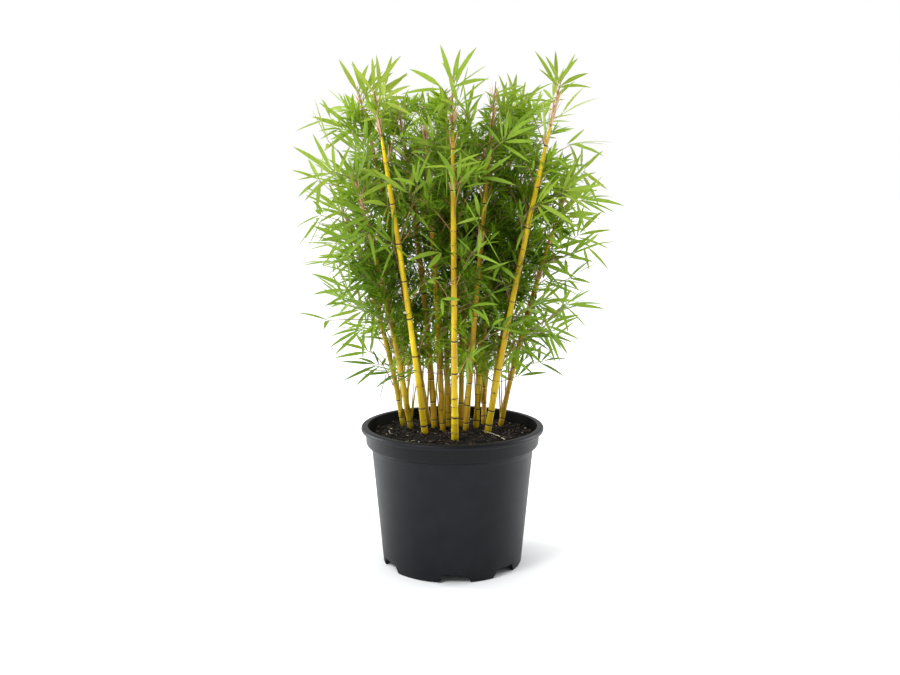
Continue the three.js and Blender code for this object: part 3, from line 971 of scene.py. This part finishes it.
def side_stem(root, azimuth, reach, rise=66, arch=0.36):
    out = reach * math.cos(math.radians(rise))
    climb = reach * math.sin(math.radians(rise))

    def line(share):
        up = climb * share - reach * arch * share * share
        return root + np.array([out * share * math.cos(azimuth), out * share * math.sin(azimuth), up])

    return line


def tip_stem(root, along, reach):
    return lambda share: root + along * reach * share


class Stem:
    """A stem that leaves a cane: its line, its length, and the stations that mark its space in the frame."""

    def __init__(self, cane, line, reach, at_tip):
        self.cane, self.line, self.reach, self.at_tip = cane, line, reach, at_tip
        self.stations = np.array([line(share) for share in (0, 0.5, 1)])

    def along(self, share):
        return unit(self.line(share + 0.05) - self.line(share - 0.05))


def room(i, line, reach, made):
    """How far a stem would stand from the nearest one already made, or 0 where it can't stand."""
    shares = (0.35, 0.7, 1.0)
    ways = np.array([line(share) for share in shares])
    clear = (gap_to_canes(ways, i) > STEM_CLEARANCE * np.array(shares)).all()
    if not clear or not inside_crown(line(1 + 0.5 * LEAF_REACH / reach)).all():
        return 0
    end, middle = line(1), line(0.6)
    marks = np.array([stem.stations for stem in made])
    to_end = np.linalg.norm(marks - end, axis=2).min(axis=1)
    to_middle = 1.3 * np.linalg.norm(marks - middle, axis=2).min(axis=1)
    return np.minimum(to_end, to_middle).min()


def roomiest_stem(i, seed, made):
    random = seeded(seed)
    best, chosen = 0, None
    for _ in range(STEM_TRIES):
        root = cane_at(i, mix(*ROOT_SHARES, random()))
        reach = mix(*STEM_REACHES, random())
        line = side_stem(root, 2 * math.pi * random(), reach)
        space = room(i, line, reach, made)
        if space > best:
            best, chosen = space, Stem(i, line, reach, False)
    return chosen


def frame_stems():
    made = []
    for i in range(len(CANES)):
        along = cane_along(i, 1)
        root = cane_at(i, 1) + along * SEATING
        made.append(Stem(i, tip_stem(root, along, TIP_REACH), TIP_REACH, True))
    for k in range(3):
        for i, cane in enumerate(CANES):
            stem = roomiest_stem(i, 200 + 10 * i + k, made) if cane[7] > k else None
            if stem:
                made.append(stem)
    return made


STEMS = frame_stems()
FOLIAGE_NODES = sorted(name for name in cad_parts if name.endswith("_foliage"))
print("Stems placed:", len(STEMS), "for", len(FOLIAGE_NODES), "sprays in the frame")

# %% [markdown]
# ## Where leaves may be
#
# Before anything grows, a few questions have to be answered for any place in the crown. How far out is it?
# Does a leaf there stay inside the crown and off the canes? And does it hang in front of a cane? Growers
# thin such a clump so that its golden canes show from the front, so the leaves before them are thinned
# here too.

# %% Ask about places in the crown
GROW_PAST = 10  # millimetres that leaf tips may pass the frame's box
LOW = np.array(cad_box[0]) / MM - GROW_PAST
HIGH = np.array(cad_box[1]) / MM + GROW_PAST
EYE = np.array(CAMERA_PLACE) / MM
SHOWN_CANES = {2: 0.95, 7: 0.95, 13: 0.9, 3: 0.3, 4: 0.55, 9: 0.3}  # and the share thinned out before each
SHOWN = np.array([SHOWN_CANES.get(i, 0) for i in range(len(CANES))])
SHOWN_LOW, LOW_FROM, LOW_TO = 0.45, 430, 340  # the share before every cane low down, and its levels
HIDES_BESIDE, HIDES_OVER = 8, 30  # how far beside a cane's line and over its tip a leaf still hides it
TALL_TIPS = [2, 3, 7, 10, 13]  # canes whose tips stand out above the crown
CROWD_TOP = 784  # how high the leaves of all the others reach
LEAST_RADIUS = 60.0


def depth_of(point):
    """0 on the crown's middle line and 1 at its outline."""
    away = math.hypot(point[0] - CROWN_MIDDLE[0], point[1] - CROWN_MIDDLE[1])
    return away / max(LEAST_RADIUS, float(crown_radius(point[2])))


def level_of(point):
    """0 at the crown's foot and 1 at its top."""
    return (point[2] - CROWN_BOTTOM) / (CROWN_TOP - CROWN_BOTTOM)


def in_reach(points, past, top):
    boxed = ((points > LOW) & (points < HIGH)).all() and (points[:, 2] < top).all()
    return boxed and inside_crown(points[-1:], past).all()


def thinned(points):
    """The share of leaves taken away where a run of points hides a shown cane from the front."""
    points = points[:, None, :]
    # each point is moved along its line of sight to the depth along Y at which a cane stands
    near = np.where(np.isin(np.arange(len(CANES)), OPEN_CANES), 0.5 * (FEET[:, 1] + TIPS[:, 1]), FEET[:, 1])
    seen = EYE + (points - EYE) * ((near - EYE[1]) / (points[:, :, 1] - EYE[1]))[:, :, None]
    share = np.clip((seen[:, :, 2] - SOIL_LEVEL) / HEIGHTS, 0, 1)
    reach = bowed(share, BOWS)
    aside = np.abs(seen[:, :, 0] - mix(FEET[:, 0], TIPS[:, 0], reach))
    before = points[:, :, 1] < mix(FEET[:, 1], TIPS[:, 1], reach)
    hides = (aside < HIDES_BESIDE) & before & (seen[:, :, 2] < TIPS[:, 2] + HIDES_OVER)
    low = np.clip((LOW_FROM - points[:, :, 2]) / (LOW_FROM - LOW_TO), 0, 1)
    return float((np.maximum(SHOWN, SHOWN_LOW * low) * hides).max())


print("The crown is", round(2 * float(crown_radius(596))), "mm wide at its widest")

# %% [markdown]
# ## Finer stems from the rings
#
# On real bamboo several thin branches leave every ring of the upper cane, one above another on alternate
# sides. The frame has room for only a few of them. The rest are added here by the same rule of a stem that
# climbs away and arches over, shorter and finer, wherever a ring lies in the crown and the way is clear.
# The lower rings of the canes at the back send up thin shoots that stand almost upright and fill the gaps
# between the canes.

# %% Branch from the rings
SHOOTS_FROM, RING_STEMS_FROM, RING_STEMS_TO = 226, 335, 900  # millimetres over the ground
STEM_TOP = 750  # a stem that ended higher would stand bare
FINE_REACHES = (55, 125)
GOLDEN_TURN = 2.4  # radians, after which a new stem or twig stands clear of the last ones
CANE_GAP, CROWN_MARGIN = 2.5, 20


def ring_stems(seed, levels, canes, count, rises, arches):
    """Stems from the rings between two levels, with ranges for how steeply they rise and how they arch."""
    made = []
    for i in canes:
        random = seeded(seed + i)
        turn = 2 * math.pi * random()
        for height in ring_heights(i):
            root = cane_at(i, height / HEIGHTS[i])
            if not levels[0] < root[2] < levels[1]:
                continue
            for _ in range(count):
                turn += GOLDEN_TURN + spread(random, 0.5)
                reach = mix(*FINE_REACHES, random())
                rise, arch = mix(*rises, random()), mix(*arches, random())
                skin = 0.8 * cane_radius(i, height / HEIGHTS[i])
                foot = root + skin * np.array([math.cos(turn), math.sin(turn), 0])
                line = side_stem(foot, turn, reach, rise, arch)
                ways = np.array([line(0.1), line(0.25), line(0.4), line(0.7), line(1.0)])
                apart = (gap_to_canes(ways, i) > CANE_GAP).all()
                clear = apart and inside_crown(line(1.0), -CROWN_MARGIN).all()
                if clear and random() > thinned(ways) and line(1.0)[2] < STEM_TOP:
                    made.append(Stem(i, line, reach, False))
    return made


BACK_CANES = [i for i in range(len(CANES)) if i not in OPEN_CANES]
FINE_STEMS = ring_stems(2000, levels=(RING_STEMS_FROM, RING_STEMS_TO), canes=range(len(CANES)), count=4,
                        rises=(54, 80), arches=(0.15, 0.45))
LOW_SHOOTS = ring_stems(2100, levels=(SHOOTS_FROM, RING_STEMS_FROM), canes=BACK_CANES, count=3,
                        rises=(80, 88), arches=(0.0, 0.12))
print("Finer stems from the rings:", len(FINE_STEMS), "and low shoots:", len(LOW_SHOOTS))

# %% [markdown]
# ## Growing the leaves
#
# Bamboo carries two kinds of growth. In the shade inside, fine twigs bear many small narrow leaves.
# Outside, longer twigs end in a fan of a few large leaves: one carries the twig on, and the rest stand to
# both sides of it like fingers. High in the crown the fans stand up, and low down they hang. Only places
# are worked out here: the foot, the way, the roll and the size of each leaf, and the run of each twig.

# %% Prepare to grow
TWIGS = []  # each with its foot, way, length, radius, arch and kind
FINE_LEAVES, LARGE_LEAVES = [], []  # each with its foot, way, roll, length, width, droop, sway and tone
HUBS = []  # where the fans of large leaves start
ASKEW = np.array([0.31, 0.2, 0.93])  # a way that no twig follows exactly
FINE_WIDTHS, LARGE_WIDTHS = (0.12, 0.16), (0.092, 0.112)  # shares of a leaf's length
FINE_THINNING, LARGE_THINNING, TWIG_THINNING = 0.9, 0.6, 0.65
LEAF_GAP, TWIG_GAP, LEAF_PAST = 0.8, 1.5, 6
LEAF_CHECKS = np.array([[0.3], [0.55], [0.8], [1.0]])  # shares of its length where a leaf is tested
LEAF_SAGS = np.array([0.09, 0.3, 0.64, 1.0])  # and of its droop there
# the number of greens, from painted shade to painted light
TONES = 4


def lift(point):
    """How much growth stands up: it hangs at the crown's foot and rises at its top."""
    return mix(-0.5, 1.0, max(0, level_of(point)) ** 1.5)


def leant(axis, lean, turn):
    """A way that leans from an axis, towards the side that a turn about the axis gives."""
    side = unit(np.cross(axis, ASKEW))
    leaning = side * math.cos(turn) + np.cross(axis, side) * math.sin(turn)
    return axis * math.cos(lean) + leaning * math.sin(lean)


def outward(point):
    """The level way out of the crown, longer further out."""
    away = (point[:2] - CROWN_MIDDLE) / CROWN_RADIUS
    return np.array([away[0], away[1], 0])


def tone_for(random, lit):
    """The number of a leaf's colour group, from painted shade to painted light, for how well it is lit, with
    a random spread.
    """
    return int(np.clip(lit + spread(random, 0.7), 0, TONES - 0.01))


def add_leaf(random, kind, foot, aim, roll, length, tone, top):
    """One leaf, unless it would cut through a cane, leave the crown or hide a shown cane."""
    small = kind is FINE_LEAVES
    droop, sway = 0.03 + 0.2 * random(), spread(random, 0.08)
    width = length * mix(*(FINE_WIDTHS if small else LARGE_WIDTHS), random())
    run = foot + aim * length * LEAF_CHECKS
    run[:, 2] -= droop * length * LEAF_SAGS
    hides = random() < thinned(run) * (FINE_THINNING if small else LARGE_THINNING)
    if hides or gap_to_canes(run).min() < LEAF_GAP or not in_reach(run, LEAF_PAST, top):
        return
    kind.append((foot, aim, roll, length, width, droop, sway, tone))


print("Lift at the crown's foot and top:", lift((0, 0, CROWN_BOTTOM)), lift((0, 0, CROWN_TOP)))

# %% [markdown]
# ## Fine twigs
#
# The inner growth is a brush of short fine twigs all round each stem. Every twig turns on by the same
# angle from the last, as on most plants, so that no two stand behind each other. A whorl of small leaves
# sits at four places along it. The leaves are shortest in the shade of the crown's middle, longer further
# out and near its foot. Their greens are painted light and shade: darkest in the crown's middle and
# brighter towards the foot and the top, where more light comes in.

# %% Grow the fine twigs
INNER_RADIUS = 0.42
GOLDEN_SHARE = 0.618  # of a stem, from one twig's foot to the next one's
BRUSH_FROM, BRUSH_LENGTHS = 0.12, (16, 44)
BRUSH_DEPTH, BRUSH_FADES, BRUSH_TOP = (0.31, 0.58), (300, 355), 752
SHADE_LENGTHS, LIGHT_LENGTHS = (14, 27), (28, 46)
WHORLS = (0.35, 0.6, 0.82, 1.0)  # shares of a twig


def grow_brush(stem, seed, count):
    """Fine twigs all round a stem, with whorls of small leaves along them."""
    random = seeded(seed)
    for order in range(count):
        foot = stem.line(mix(BRUSH_FROM, 1.0, (GOLDEN_SHARE * order) % 1))
        turn = GOLDEN_TURN * order + spread(random, 0.4)
        out = np.array([math.cos(turn), math.sin(turn), mix(-0.3, 0.9, random())])
        direction = unit(out + 0.4 * stem.along(0.5) + 0.5 * outward(foot))
        length = mix(*BRUSH_LENGTHS, random())
        end = foot + direction * length
        depth, level = depth_of(end), level_of(end)
        deepest = mix(*BRUSH_DEPTH, random()) + 0.3 * level
        lowest = mix(*BRUSH_FADES, random())
        if depth > deepest or not lowest < end[2] < BRUSH_TOP or gap_to_canes(end)[0] < TWIG_GAP:
            continue
        way = np.array([mix(foot, end, share) for share in (0.1, 0.4, 0.7, 1.0)])
        if random() < TWIG_THINNING * thinned(way):
            continue
        TWIGS.append((foot, direction, length, INNER_RADIUS, 0.1 * random(), "inner"))
        grown = min(1, max(0, (depth - 0.35) / 0.4, 0.6 - 2 * level))
        # painted light and shade: how bright a leaf's green is, from its place in the crown
        lit = 0.3 + 8 * max(0.4 - level, 0) + 3.6 * max(level - 0.4, 0) + 1.3 * grown
        for share in WHORLS:
            place = foot + direction * length * share
            tone = tone_for(random, lit)
            for leaf in range(3 if share < 1 else 4):
                aim = leant(direction, mix(0.3, 1.1, random()), 2.1 * leaf + 3 * random())
                aim = unit(aim + np.array([0, 0, 0.3 * lift(end)]))
                roll = np.array([spread(random, 1), spread(random, 1), 1])
                size = mix(mix(*SHADE_LENGTHS, random()), mix(*LIGHT_LENGTHS, random()), grown)
                add_leaf(random, FINE_LEAVES, place, aim, roll, size, tone, CROWD_TOP)


print("A fine twig can carry", 3 * len(WHORLS) + 1, "small leaves")

# %% [markdown]
# ## Fans of large leaves
#
# A long twig reaches out from a stem and ends in a fan. A fan's leaves share one loose plane, and their
# foot is set back a little from one to the next, as they leave a real twig. Fans keep a distance from each
# other, so the crown's surface is covered evenly and still shows gaps. Two or three fans stand up round
# each cane's tip.

# %% Grow the crown
OUTER_RADIUS = 0.85
OUT_SHARES, OUT_LENGTHS = (1.0, 0.8, 0.6, 0.4), (14, 80)
LEAF_SIZES = (58, 68)
HUB_DEPTH, HUB_LEVELS, HUB_GAP = (0.36, 0.86), (300, 764), (39, 31)
WIDE_SIZE, WIDE_LEVEL = 60, 700  # larger fans that stand higher open wider and have fewer leaves
LEAF_SPACING = 2.2
TALL_FANS = [(0.8, 0.1, 72), (0.62, 0.7, 68), (0.34, 0.9, 64)]  # share up the stem, lean, leaf size
LOW_FANS = [(0.75, 0.3, 60), (0.35, 0.8, 54)]
OUT_TURNED, TIP_TURNED = 0.7, 1.6
TWIG_SPACING, BRUSH_FULLNESS = 10.5, (0.5, 1.35)


def grow_fan(random, hub, direction, size, top, turned):
    """Large leaves round a twig's end, one ahead and the others to both sides, loosely in one plane. A larger
    value of turned draws the flat of the fan more to the front."""
    # painted light and shade: the fan's green follows its height and how far out it stands
    tone = tone_for(random, 2.6 * level_of(hub) + 1.9 * (depth_of(hub) - 0.4) + 0.2)
    any_way = leant(direction, math.pi / 2, 2 * math.pi * random())
    across = unit(np.cross(direction, any_way + turned * np.array([0, -1, 0])))
    facing = np.cross(across, direction)
    wide = size > WIDE_SIZE and hub[2] > WIDE_LEVEL
    step, more = (0.62, 2) if wide else (0.5, 3.5)
    for k in range(4 + int(more * random())):
        lean = (step * ((k + 1) // 2) + spread(random, 0.14)) * (1 if k % 2 else -1)
        aim = direction * math.cos(lean) + across * math.sin(lean) + facing * spread(random, 0.3)
        aim = unit(aim + np.array([0, 0, lift(hub) * mix(0.05, 0.5, random())]))
        tilt = np.array([spread(random, 0.4), spread(random, 0.4), spread(random, 0.4)])
        length = size * mix(0.82, 1.08, random()) * (1 if k < 3 else 0.88)
        foot = hub - direction * LEAF_SPACING * k
        add_leaf(random, LARGE_LEAVES, foot, aim, facing + tilt, length, tone, top)


def add_fan(random, twig, hub, direction, size, top, turned):
    """A fan, and its twig where at least one leaf of the fan found room."""
    HUBS.append(hub)
    earlier = len(LARGE_LEAVES)
    grow_fan(random, hub, direction, size, top, turned)
    if len(LARGE_LEAVES) > earlier:
        TWIGS.append(twig)


def reach_out(stem, seed):
    """A long thin twig from a stem to a free place near the crown's outline, with a fan of large leaves."""
    random = seeded(seed)
    for share in OUT_SHARES:
        foot = stem.line(share)
        way = unit(outward(foot) + np.array([spread(random, 0.3), spread(random, 0.3), 0]))
        direction = unit(way + np.array([0, 0, mix(0.1, 0.9, random()) + 0.3 * lift(foot)]))
        length = mix(*OUT_LENGTHS, random())
        hub = foot + direction * length
        near = np.linalg.norm(np.array(HUBS) - hub, axis=1).min() if HUBS else np.inf
        crowded = near < mix(*HUB_GAP, level_of(hub))
        fits = HUB_DEPTH[0] < depth_of(hub) < HUB_DEPTH[1] and HUB_LEVELS[0] < hub[2] < HUB_LEVELS[1]
        if crowded or not fits or gap_to_canes([foot + direction * length * 0.6, hub]).min() < TWIG_GAP:
            continue
        twig = (foot, direction, length, OUTER_RADIUS, 0.15 * random(), "outer")
        size = mix(*LEAF_SIZES, min(1, max(0, 2.2 * level_of(hub))))
        sideways = 0.5 * leant(way, math.pi / 2, 2 * math.pi * random())
        add_fan(random, twig, hub, unit(direction + sideways), size, CROWD_TOP, OUT_TURNED)


def crown_tip(stem, seed):
    """Fans that stand up round the stem at a cane's tip."""
    random = seeded(seed)
    fans, top = (TALL_FANS, HIGH[2]) if stem.cane in TALL_TIPS else (LOW_FANS, CROWD_TOP)
    for share, lean, size in fans:
        direction = leant(stem.along(1), lean, 2 * math.pi * random())
        length = 6 if lean < 0.5 else mix(16, 30, random())
        hub = stem.line(share) + direction * length
        twig = (stem.line(share), direction, length, OUTER_RADIUS, 0.1 * random(), "outer")
        add_fan(random, twig, hub, unit(direction + np.array([0, 0, 0.4])), size, top, TIP_TURNED)


for number, stem in enumerate(STEMS):
    if stem.at_tip:
        crown_tip(stem, 3000 + number)
for number, stem in enumerate(STEMS + FINE_STEMS + LOW_SHOOTS):
    reach_out(stem, 4000 + number)
    fullness = mix(*BRUSH_FULLNESS, max(0, level_of(stem.line(0.5))) ** 0.6)
    grow_brush(stem, 5000 + number, round(stem.reach / TWIG_SPACING * fullness))
print("Small leaves:", len(FINE_LEAVES), "large leaves:", len(LARGE_LEAVES))
print("Twigs:", len(TWIGS), "places for fans:", len(HUBS))

# %% [markdown]
# ## One leaf, many times
#
# A bamboo leaf is a long blade, pointed at both ends, widest before its middle and folded a little along
# its rib. It starts as a small grid, which is drawn to that outline and closed at its two points. A large
# leaf has ten faces and a small one six, because thousands of copies have to stay light. Each copy is then
# bent by its own droop and sway while it is laid out. Four greens for each size are painted light and
# shade: each leaf takes the green for how well it is lit in the crown, with a random spread.

# %% Model a leaf and lay out the crown
LEAF_ROWS = [(0, 0), (0.12, 0.42), (0.34, 1.0), (0.6, 0.9), (0.84, 0.48), (1, 0)]  # share of length, of width
FINE_ROWS = [(0, 0), (0.3, 1.0), (0.68, 0.75), (1, 0)]
LEAF_FOLD = 0.22
LEAF_GLOW = 0.3  # the share of light that shines through


def leaf_shape(outline):
    bm = bmesh.new()
    bmesh.ops.create_grid(bm, x_segments=2, y_segments=len(outline) - 1, size=1)
    for vertex in bm.verts:
        share, width = outline[round((vertex.co.y + 1) / 2 * (len(outline) - 1))]
        side = vertex.co.x * width
        vertex.co = (side, share, LEAF_FOLD * abs(side))
    bmesh.ops.remove_doubles(bm, verts=bm.verts, dist=1e-5)
    return Shape(bm)


LEAF, FINE_LEAF = leaf_shape(LEAF_ROWS), leaf_shape(FINE_ROWS)


def laid_leaves(shape, leaves):
    """The points of many leaves, in millimetres."""
    foot, aim, roll = (np.array([leaf[k] for leaf in leaves]) for k in range(3))
    length, width, droop, sway = (np.array([leaf[k] for leaf in leaves])[:, None, None] for k in range(3, 7))
    across = unit(np.cross(aim, roll))
    normal = np.cross(across, aim)
    side, share, rise = (shape.points[None, :, k:k + 1] for k in range(3))
    along = aim[:, None, :] * length * share
    over = across[:, None, :] * (side * width / 2 + sway * length * share ** 2)
    up = normal[:, None, :] * rise * width / 2
    hang = np.array([0, 0, -1]) * droop * length * share ** 2
    return foot[:, None, :] + along + over + up + hang


def leaf_finish(name, upper, lower):
    leaf = Finish(name)
    veins = leaf.grain(60, detail=2)
    leaf.set({
        "Base Color": leaf.blend(veins.between(0.3, 0.7), upper, lower),
        "Roughness": 0.5,
        "Specular IOR Level": 0.2,
    })
    glow = leaf.node("ShaderNodeBsdfTranslucent", {}, {"Color": lower})
    whole = leaf.node("ShaderNodeMixShader", {}, (LEAF_GLOW, Socket(leaf, leaf.shader.outputs[0]), glow))
    leaf.feed(leaf.out.inputs["Surface"], whole)
    return leaf


def show_growth(name, shape, points, finish):
    """Many copies of a shape as one piece, which stands with the others for all sprays of the frame."""
    show(name, joined(name, shape, points), [finish], FOLIAGE_NODES)


# greens from painted shade to painted light, each leaf's group with a random spread
FINE_GREENS = [
    ("fine_leaves_painted_shade", paint(72, 106, 8), paint(90, 122, 14)),
    ("fine_leaves_painted_dim", paint(98, 132, 16), paint(116, 148, 24)),
    ("fine_leaves_painted_half_light", paint(122, 154, 28), paint(140, 170, 42)),
    ("fine_leaves_painted_light", paint(142, 172, 48), paint(158, 186, 64)),
]
LARGE_GREENS = [
    ("large_leaves_painted_dim", paint(90, 122, 34), paint(104, 134, 44)),
    ("large_leaves_painted_half_light", paint(111, 143, 36), paint(126, 155, 48)),
    ("large_leaves_painted_light", paint(126, 152, 40), paint(142, 166, 56)),
    ("large_leaves_painted_full_light", paint(138, 158, 48), paint(154, 172, 68)),
]
for greens, shape, leaves in ((FINE_GREENS, FINE_LEAF, FINE_LEAVES), (LARGE_GREENS, LEAF, LARGE_LEAVES)):
    for tone, (name, upper, lower) in enumerate(greens):
        chosen = laid_leaves(shape, [leaf for leaf in leaves if leaf[7] == tone])
        show_growth(name, shape, chosen, leaf_finish(name, upper, lower))

# %% [markdown]
# ## Stems and twigs
#
# The stems that carry the leaves are as thin as wire. The stem at a cane's tip carries the cane on and
# tapers from its width. Side stems leave a cane about 2 mm thick and low shoots over 3 mm, and all of them
# end at little over 1 mm. A tube of a few sides starts as a cylinder that is divided into rows, and every
# copy of it is bent along its own stem.

# %% Bend tubes along the stems
STEM_ROWS, TWIG_ROWS = 6, 2
STEM_SIDES, TWIG_SIDES = 6, 3
SIDE_RADIUS, FINE_RADIUS, SHOOT_RADIUS, END_RADIUS = 1.1, 0.8, 1.7, 0.6
TWIG_TAPER = np.array([1, 0.85, 0.7])
ASIDE = np.array([0.31, 0.95, 0.05])  # a way that no stem or twig follows exactly


def tube_shape(sides, rows):
    bm = bmesh.new()
    bmesh.ops.create_cone(bm, cap_ends=True, segments=sides, radius1=1, radius2=1, depth=1)
    upright = [e for e in bm.edges if abs(e.verts[0].co.z - e.verts[1].co.z) > 0.5]
    bmesh.ops.subdivide_edges(bm, edges=upright, cuts=rows - 1)
    bmesh.ops.translate(bm, verts=bm.verts, vec=(0, 0, 0.5))
    return Shape(bm)


def bent_tubes(shape, lines, radii):
    """Tubes along lines, an array of tubes by points by three, with a radius at each point."""
    count = lines.shape[1]
    along = unit(np.gradient(lines, axis=1))
    across = unit(np.cross(along, ASIDE))
    normal = np.cross(across, along)
    rows = np.rint(shape.points[:, 2] * (count - 1)).astype(int)
    x, y = shape.points[None, :, 0:1], shape.points[None, :, 1:2]
    size = radii[:, rows, None]
    return lines[:, rows] + (across[:, rows] * x - normal[:, rows] * y) * size


STEM_TUBE, TWIG_TUBE = tube_shape(STEM_SIDES, STEM_ROWS), tube_shape(TWIG_SIDES, TWIG_ROWS)


def stem_tubes(stems, side_radius=None):
    """A tube along each stem, as thick at its foot as the cane's tip or as the radius given."""
    shares = [k / STEM_ROWS for k in range(STEM_ROWS + 1)]
    lines, radii = [], []
    for stem in stems:
        foot = side_radius or cane_radius(stem.cane, 1)
        lines.append([stem.line(share) for share in shares])
        radii.append([mix(foot, END_RADIUS, share ** 0.8) for share in shares])
    return bent_tubes(STEM_TUBE, np.array(lines), np.array(radii))


def twig_tubes(twigs):
    lines, radii = [], []
    for foot, direction, length, radius, arch, _ in twigs:
        rise = np.array([0, 0, arch * length])
        lines.append([foot + direction * length * s + rise * s * (1 - s) for s in (0, 0.5, 1)])
        radii.append(radius * TWIG_TAPER)
    return bent_tubes(TWIG_TUBE, np.array(lines), np.array(radii))


def wood_finish(name, first, second):
    wood = Finish(name)
    mottle = wood.grain(120, detail=2)
    return wood.set({
        "Base Color": wood.blend(mottle.between(0.35, 0.65), first, second),
        "Roughness": 0.65,
        "Normal": wood.bump(wood.grain(600, detail=2), 0.0002, 0.4),
    })


inner_wood = wood_finish("inner_twig_bark", paint(124, 98, 48), paint(166, 132, 74))
outer_wood = wood_finish("outer_twig_bark", paint(112, 92, 58), paint(150, 122, 90))
tips = [stem for stem in STEMS if stem.at_tip]
sides = [stem for stem in STEMS if not stem.at_tip]
side_tubes = np.concatenate([stem_tubes(sides, SIDE_RADIUS), stem_tubes(FINE_STEMS, FINE_RADIUS)])
show_growth("tip_stems", STEM_TUBE, stem_tubes(tips), inner_wood)
show_growth("side_stems", STEM_TUBE, side_tubes, inner_wood)
show_growth("low_shoots", STEM_TUBE, stem_tubes(LOW_SHOOTS, SHOOT_RADIUS), olive)
for kind, wood in (("inner", inner_wood), ("outer", outer_wood)):
    twigs = [twig for twig in TWIGS if twig[5] == kind]
    show_growth(f"{kind}_twigs", TWIG_TUBE, twig_tubes(twigs), wood)

# %% [markdown]
# ## Papery sheaths
#
# Round the rings of the upper canes and up the tip stems stand the dry sheaths of old shoots: narrow,
# papery, pinkish tan slips that point up and outward. They use the leaf's shape, narrower and stiffer, in
# little tufts.

# %% Add the sheaths
TUFT_COUNT, SHEATH_LENGTHS, SHEATH_WIDTHS = 7, (9, 32), (1.4, 2.6)
SHEATH_DROOP = -0.02  # a stiff slip bends up a little
TIP_SPOTS = (0.02, 0.12, 0.25, 0.4, 0.6)  # shares of a tip stem


def sheath_tufts():
    """Slips round the upper rings and the tip stems, in the form that laid_leaves takes."""
    tufts = []
    for i, tip in enumerate(tips):
        random = seeded(7000 + i)
        lowest = (0.8 if i in OPEN_CANES else 0.6) * HEIGHTS[i]
        shares = [height / HEIGHTS[i] for height in ring_heights(i) if height > lowest]
        spots = [(cane_at(i, share), cane_along(i, share), cane_radius(i, share)) for share in shares]
        spots += [(tip.line(share), tip.along(share), 1.0) for share in TIP_SPOTS]
        for point, along, radius in spots:
            for _ in range(TUFT_COUNT):
                turn = 2 * math.pi * random()
                out = np.array([math.cos(turn), math.sin(turn), 0])
                aim = unit(along + out * mix(0.15, 0.6, random()))
                length, width = mix(*SHEATH_LENGTHS, random()), mix(*SHEATH_WIDTHS, random())
                foot = point + out * radius * 0.8
                tufts.append((foot, aim, out, length, width, SHEATH_DROOP, spread(random, 0.08)))
    return tufts


sheath_paper = wood_finish("sheath_paper", paint(200, 154, 114), paint(224, 188, 150))
show_growth("papery_sheaths", LEAF, laid_leaves(LEAF, sheath_tufts()), sheath_paper)

# %% [markdown]
# ## Ground
#
# The ground is a wide pale sheet. It belongs to the studio and not to the plant.
# It glows more and more away from the pot, a painted light, so that only near the pot does it look darker:
# there the soft shadow falls and the fading glow paints shade, as on a lit white table.

# %% Lay the ground
FLOOR_REACH = 40  # metres from the middle to each side
GLOW_FROM, GLOW_TO, GLOW_STRENGTH = 0.11, 0.5, 0.5
BLACK, WHITE = (0, 0, 0, 1), (1, 1, 1, 1)


def ground_sheet():
    bm = bmesh.new()
    bmesh.ops.create_grid(bm, x_segments=1, y_segments=1, size=FLOOR_REACH)
    mesh = from_bmesh("studio_floor", bm)
    floor = bpy.data.objects.new("studio_floor", mesh)
    finish = Finish("floor_white")
    where = finish.node("ShaderNodeTexCoord", output="Object")
    away = finish.node("ShaderNodeVectorMath", {"operation": "LENGTH"}, (where,), output="Value")
    finish.set({
        "Base Color": (0.84, 0.85, 0.86, 1),
        "Roughness": 0.9,
        "Specular IOR Level": 0.1,
        # painted light: the glow, which fades to none near and under the pot as painted shade
        "Emission Color": finish.blend(away.between(GLOW_FROM, GLOW_TO), BLACK, WHITE),
        "Emission Strength": GLOW_STRENGTH,
    })
    mesh.materials.append(finish.material)
    link(floor)


ground_sheet()
print("Triangles in all:", sum(PIECES.values()), "in", len(PIECES), "pieces")
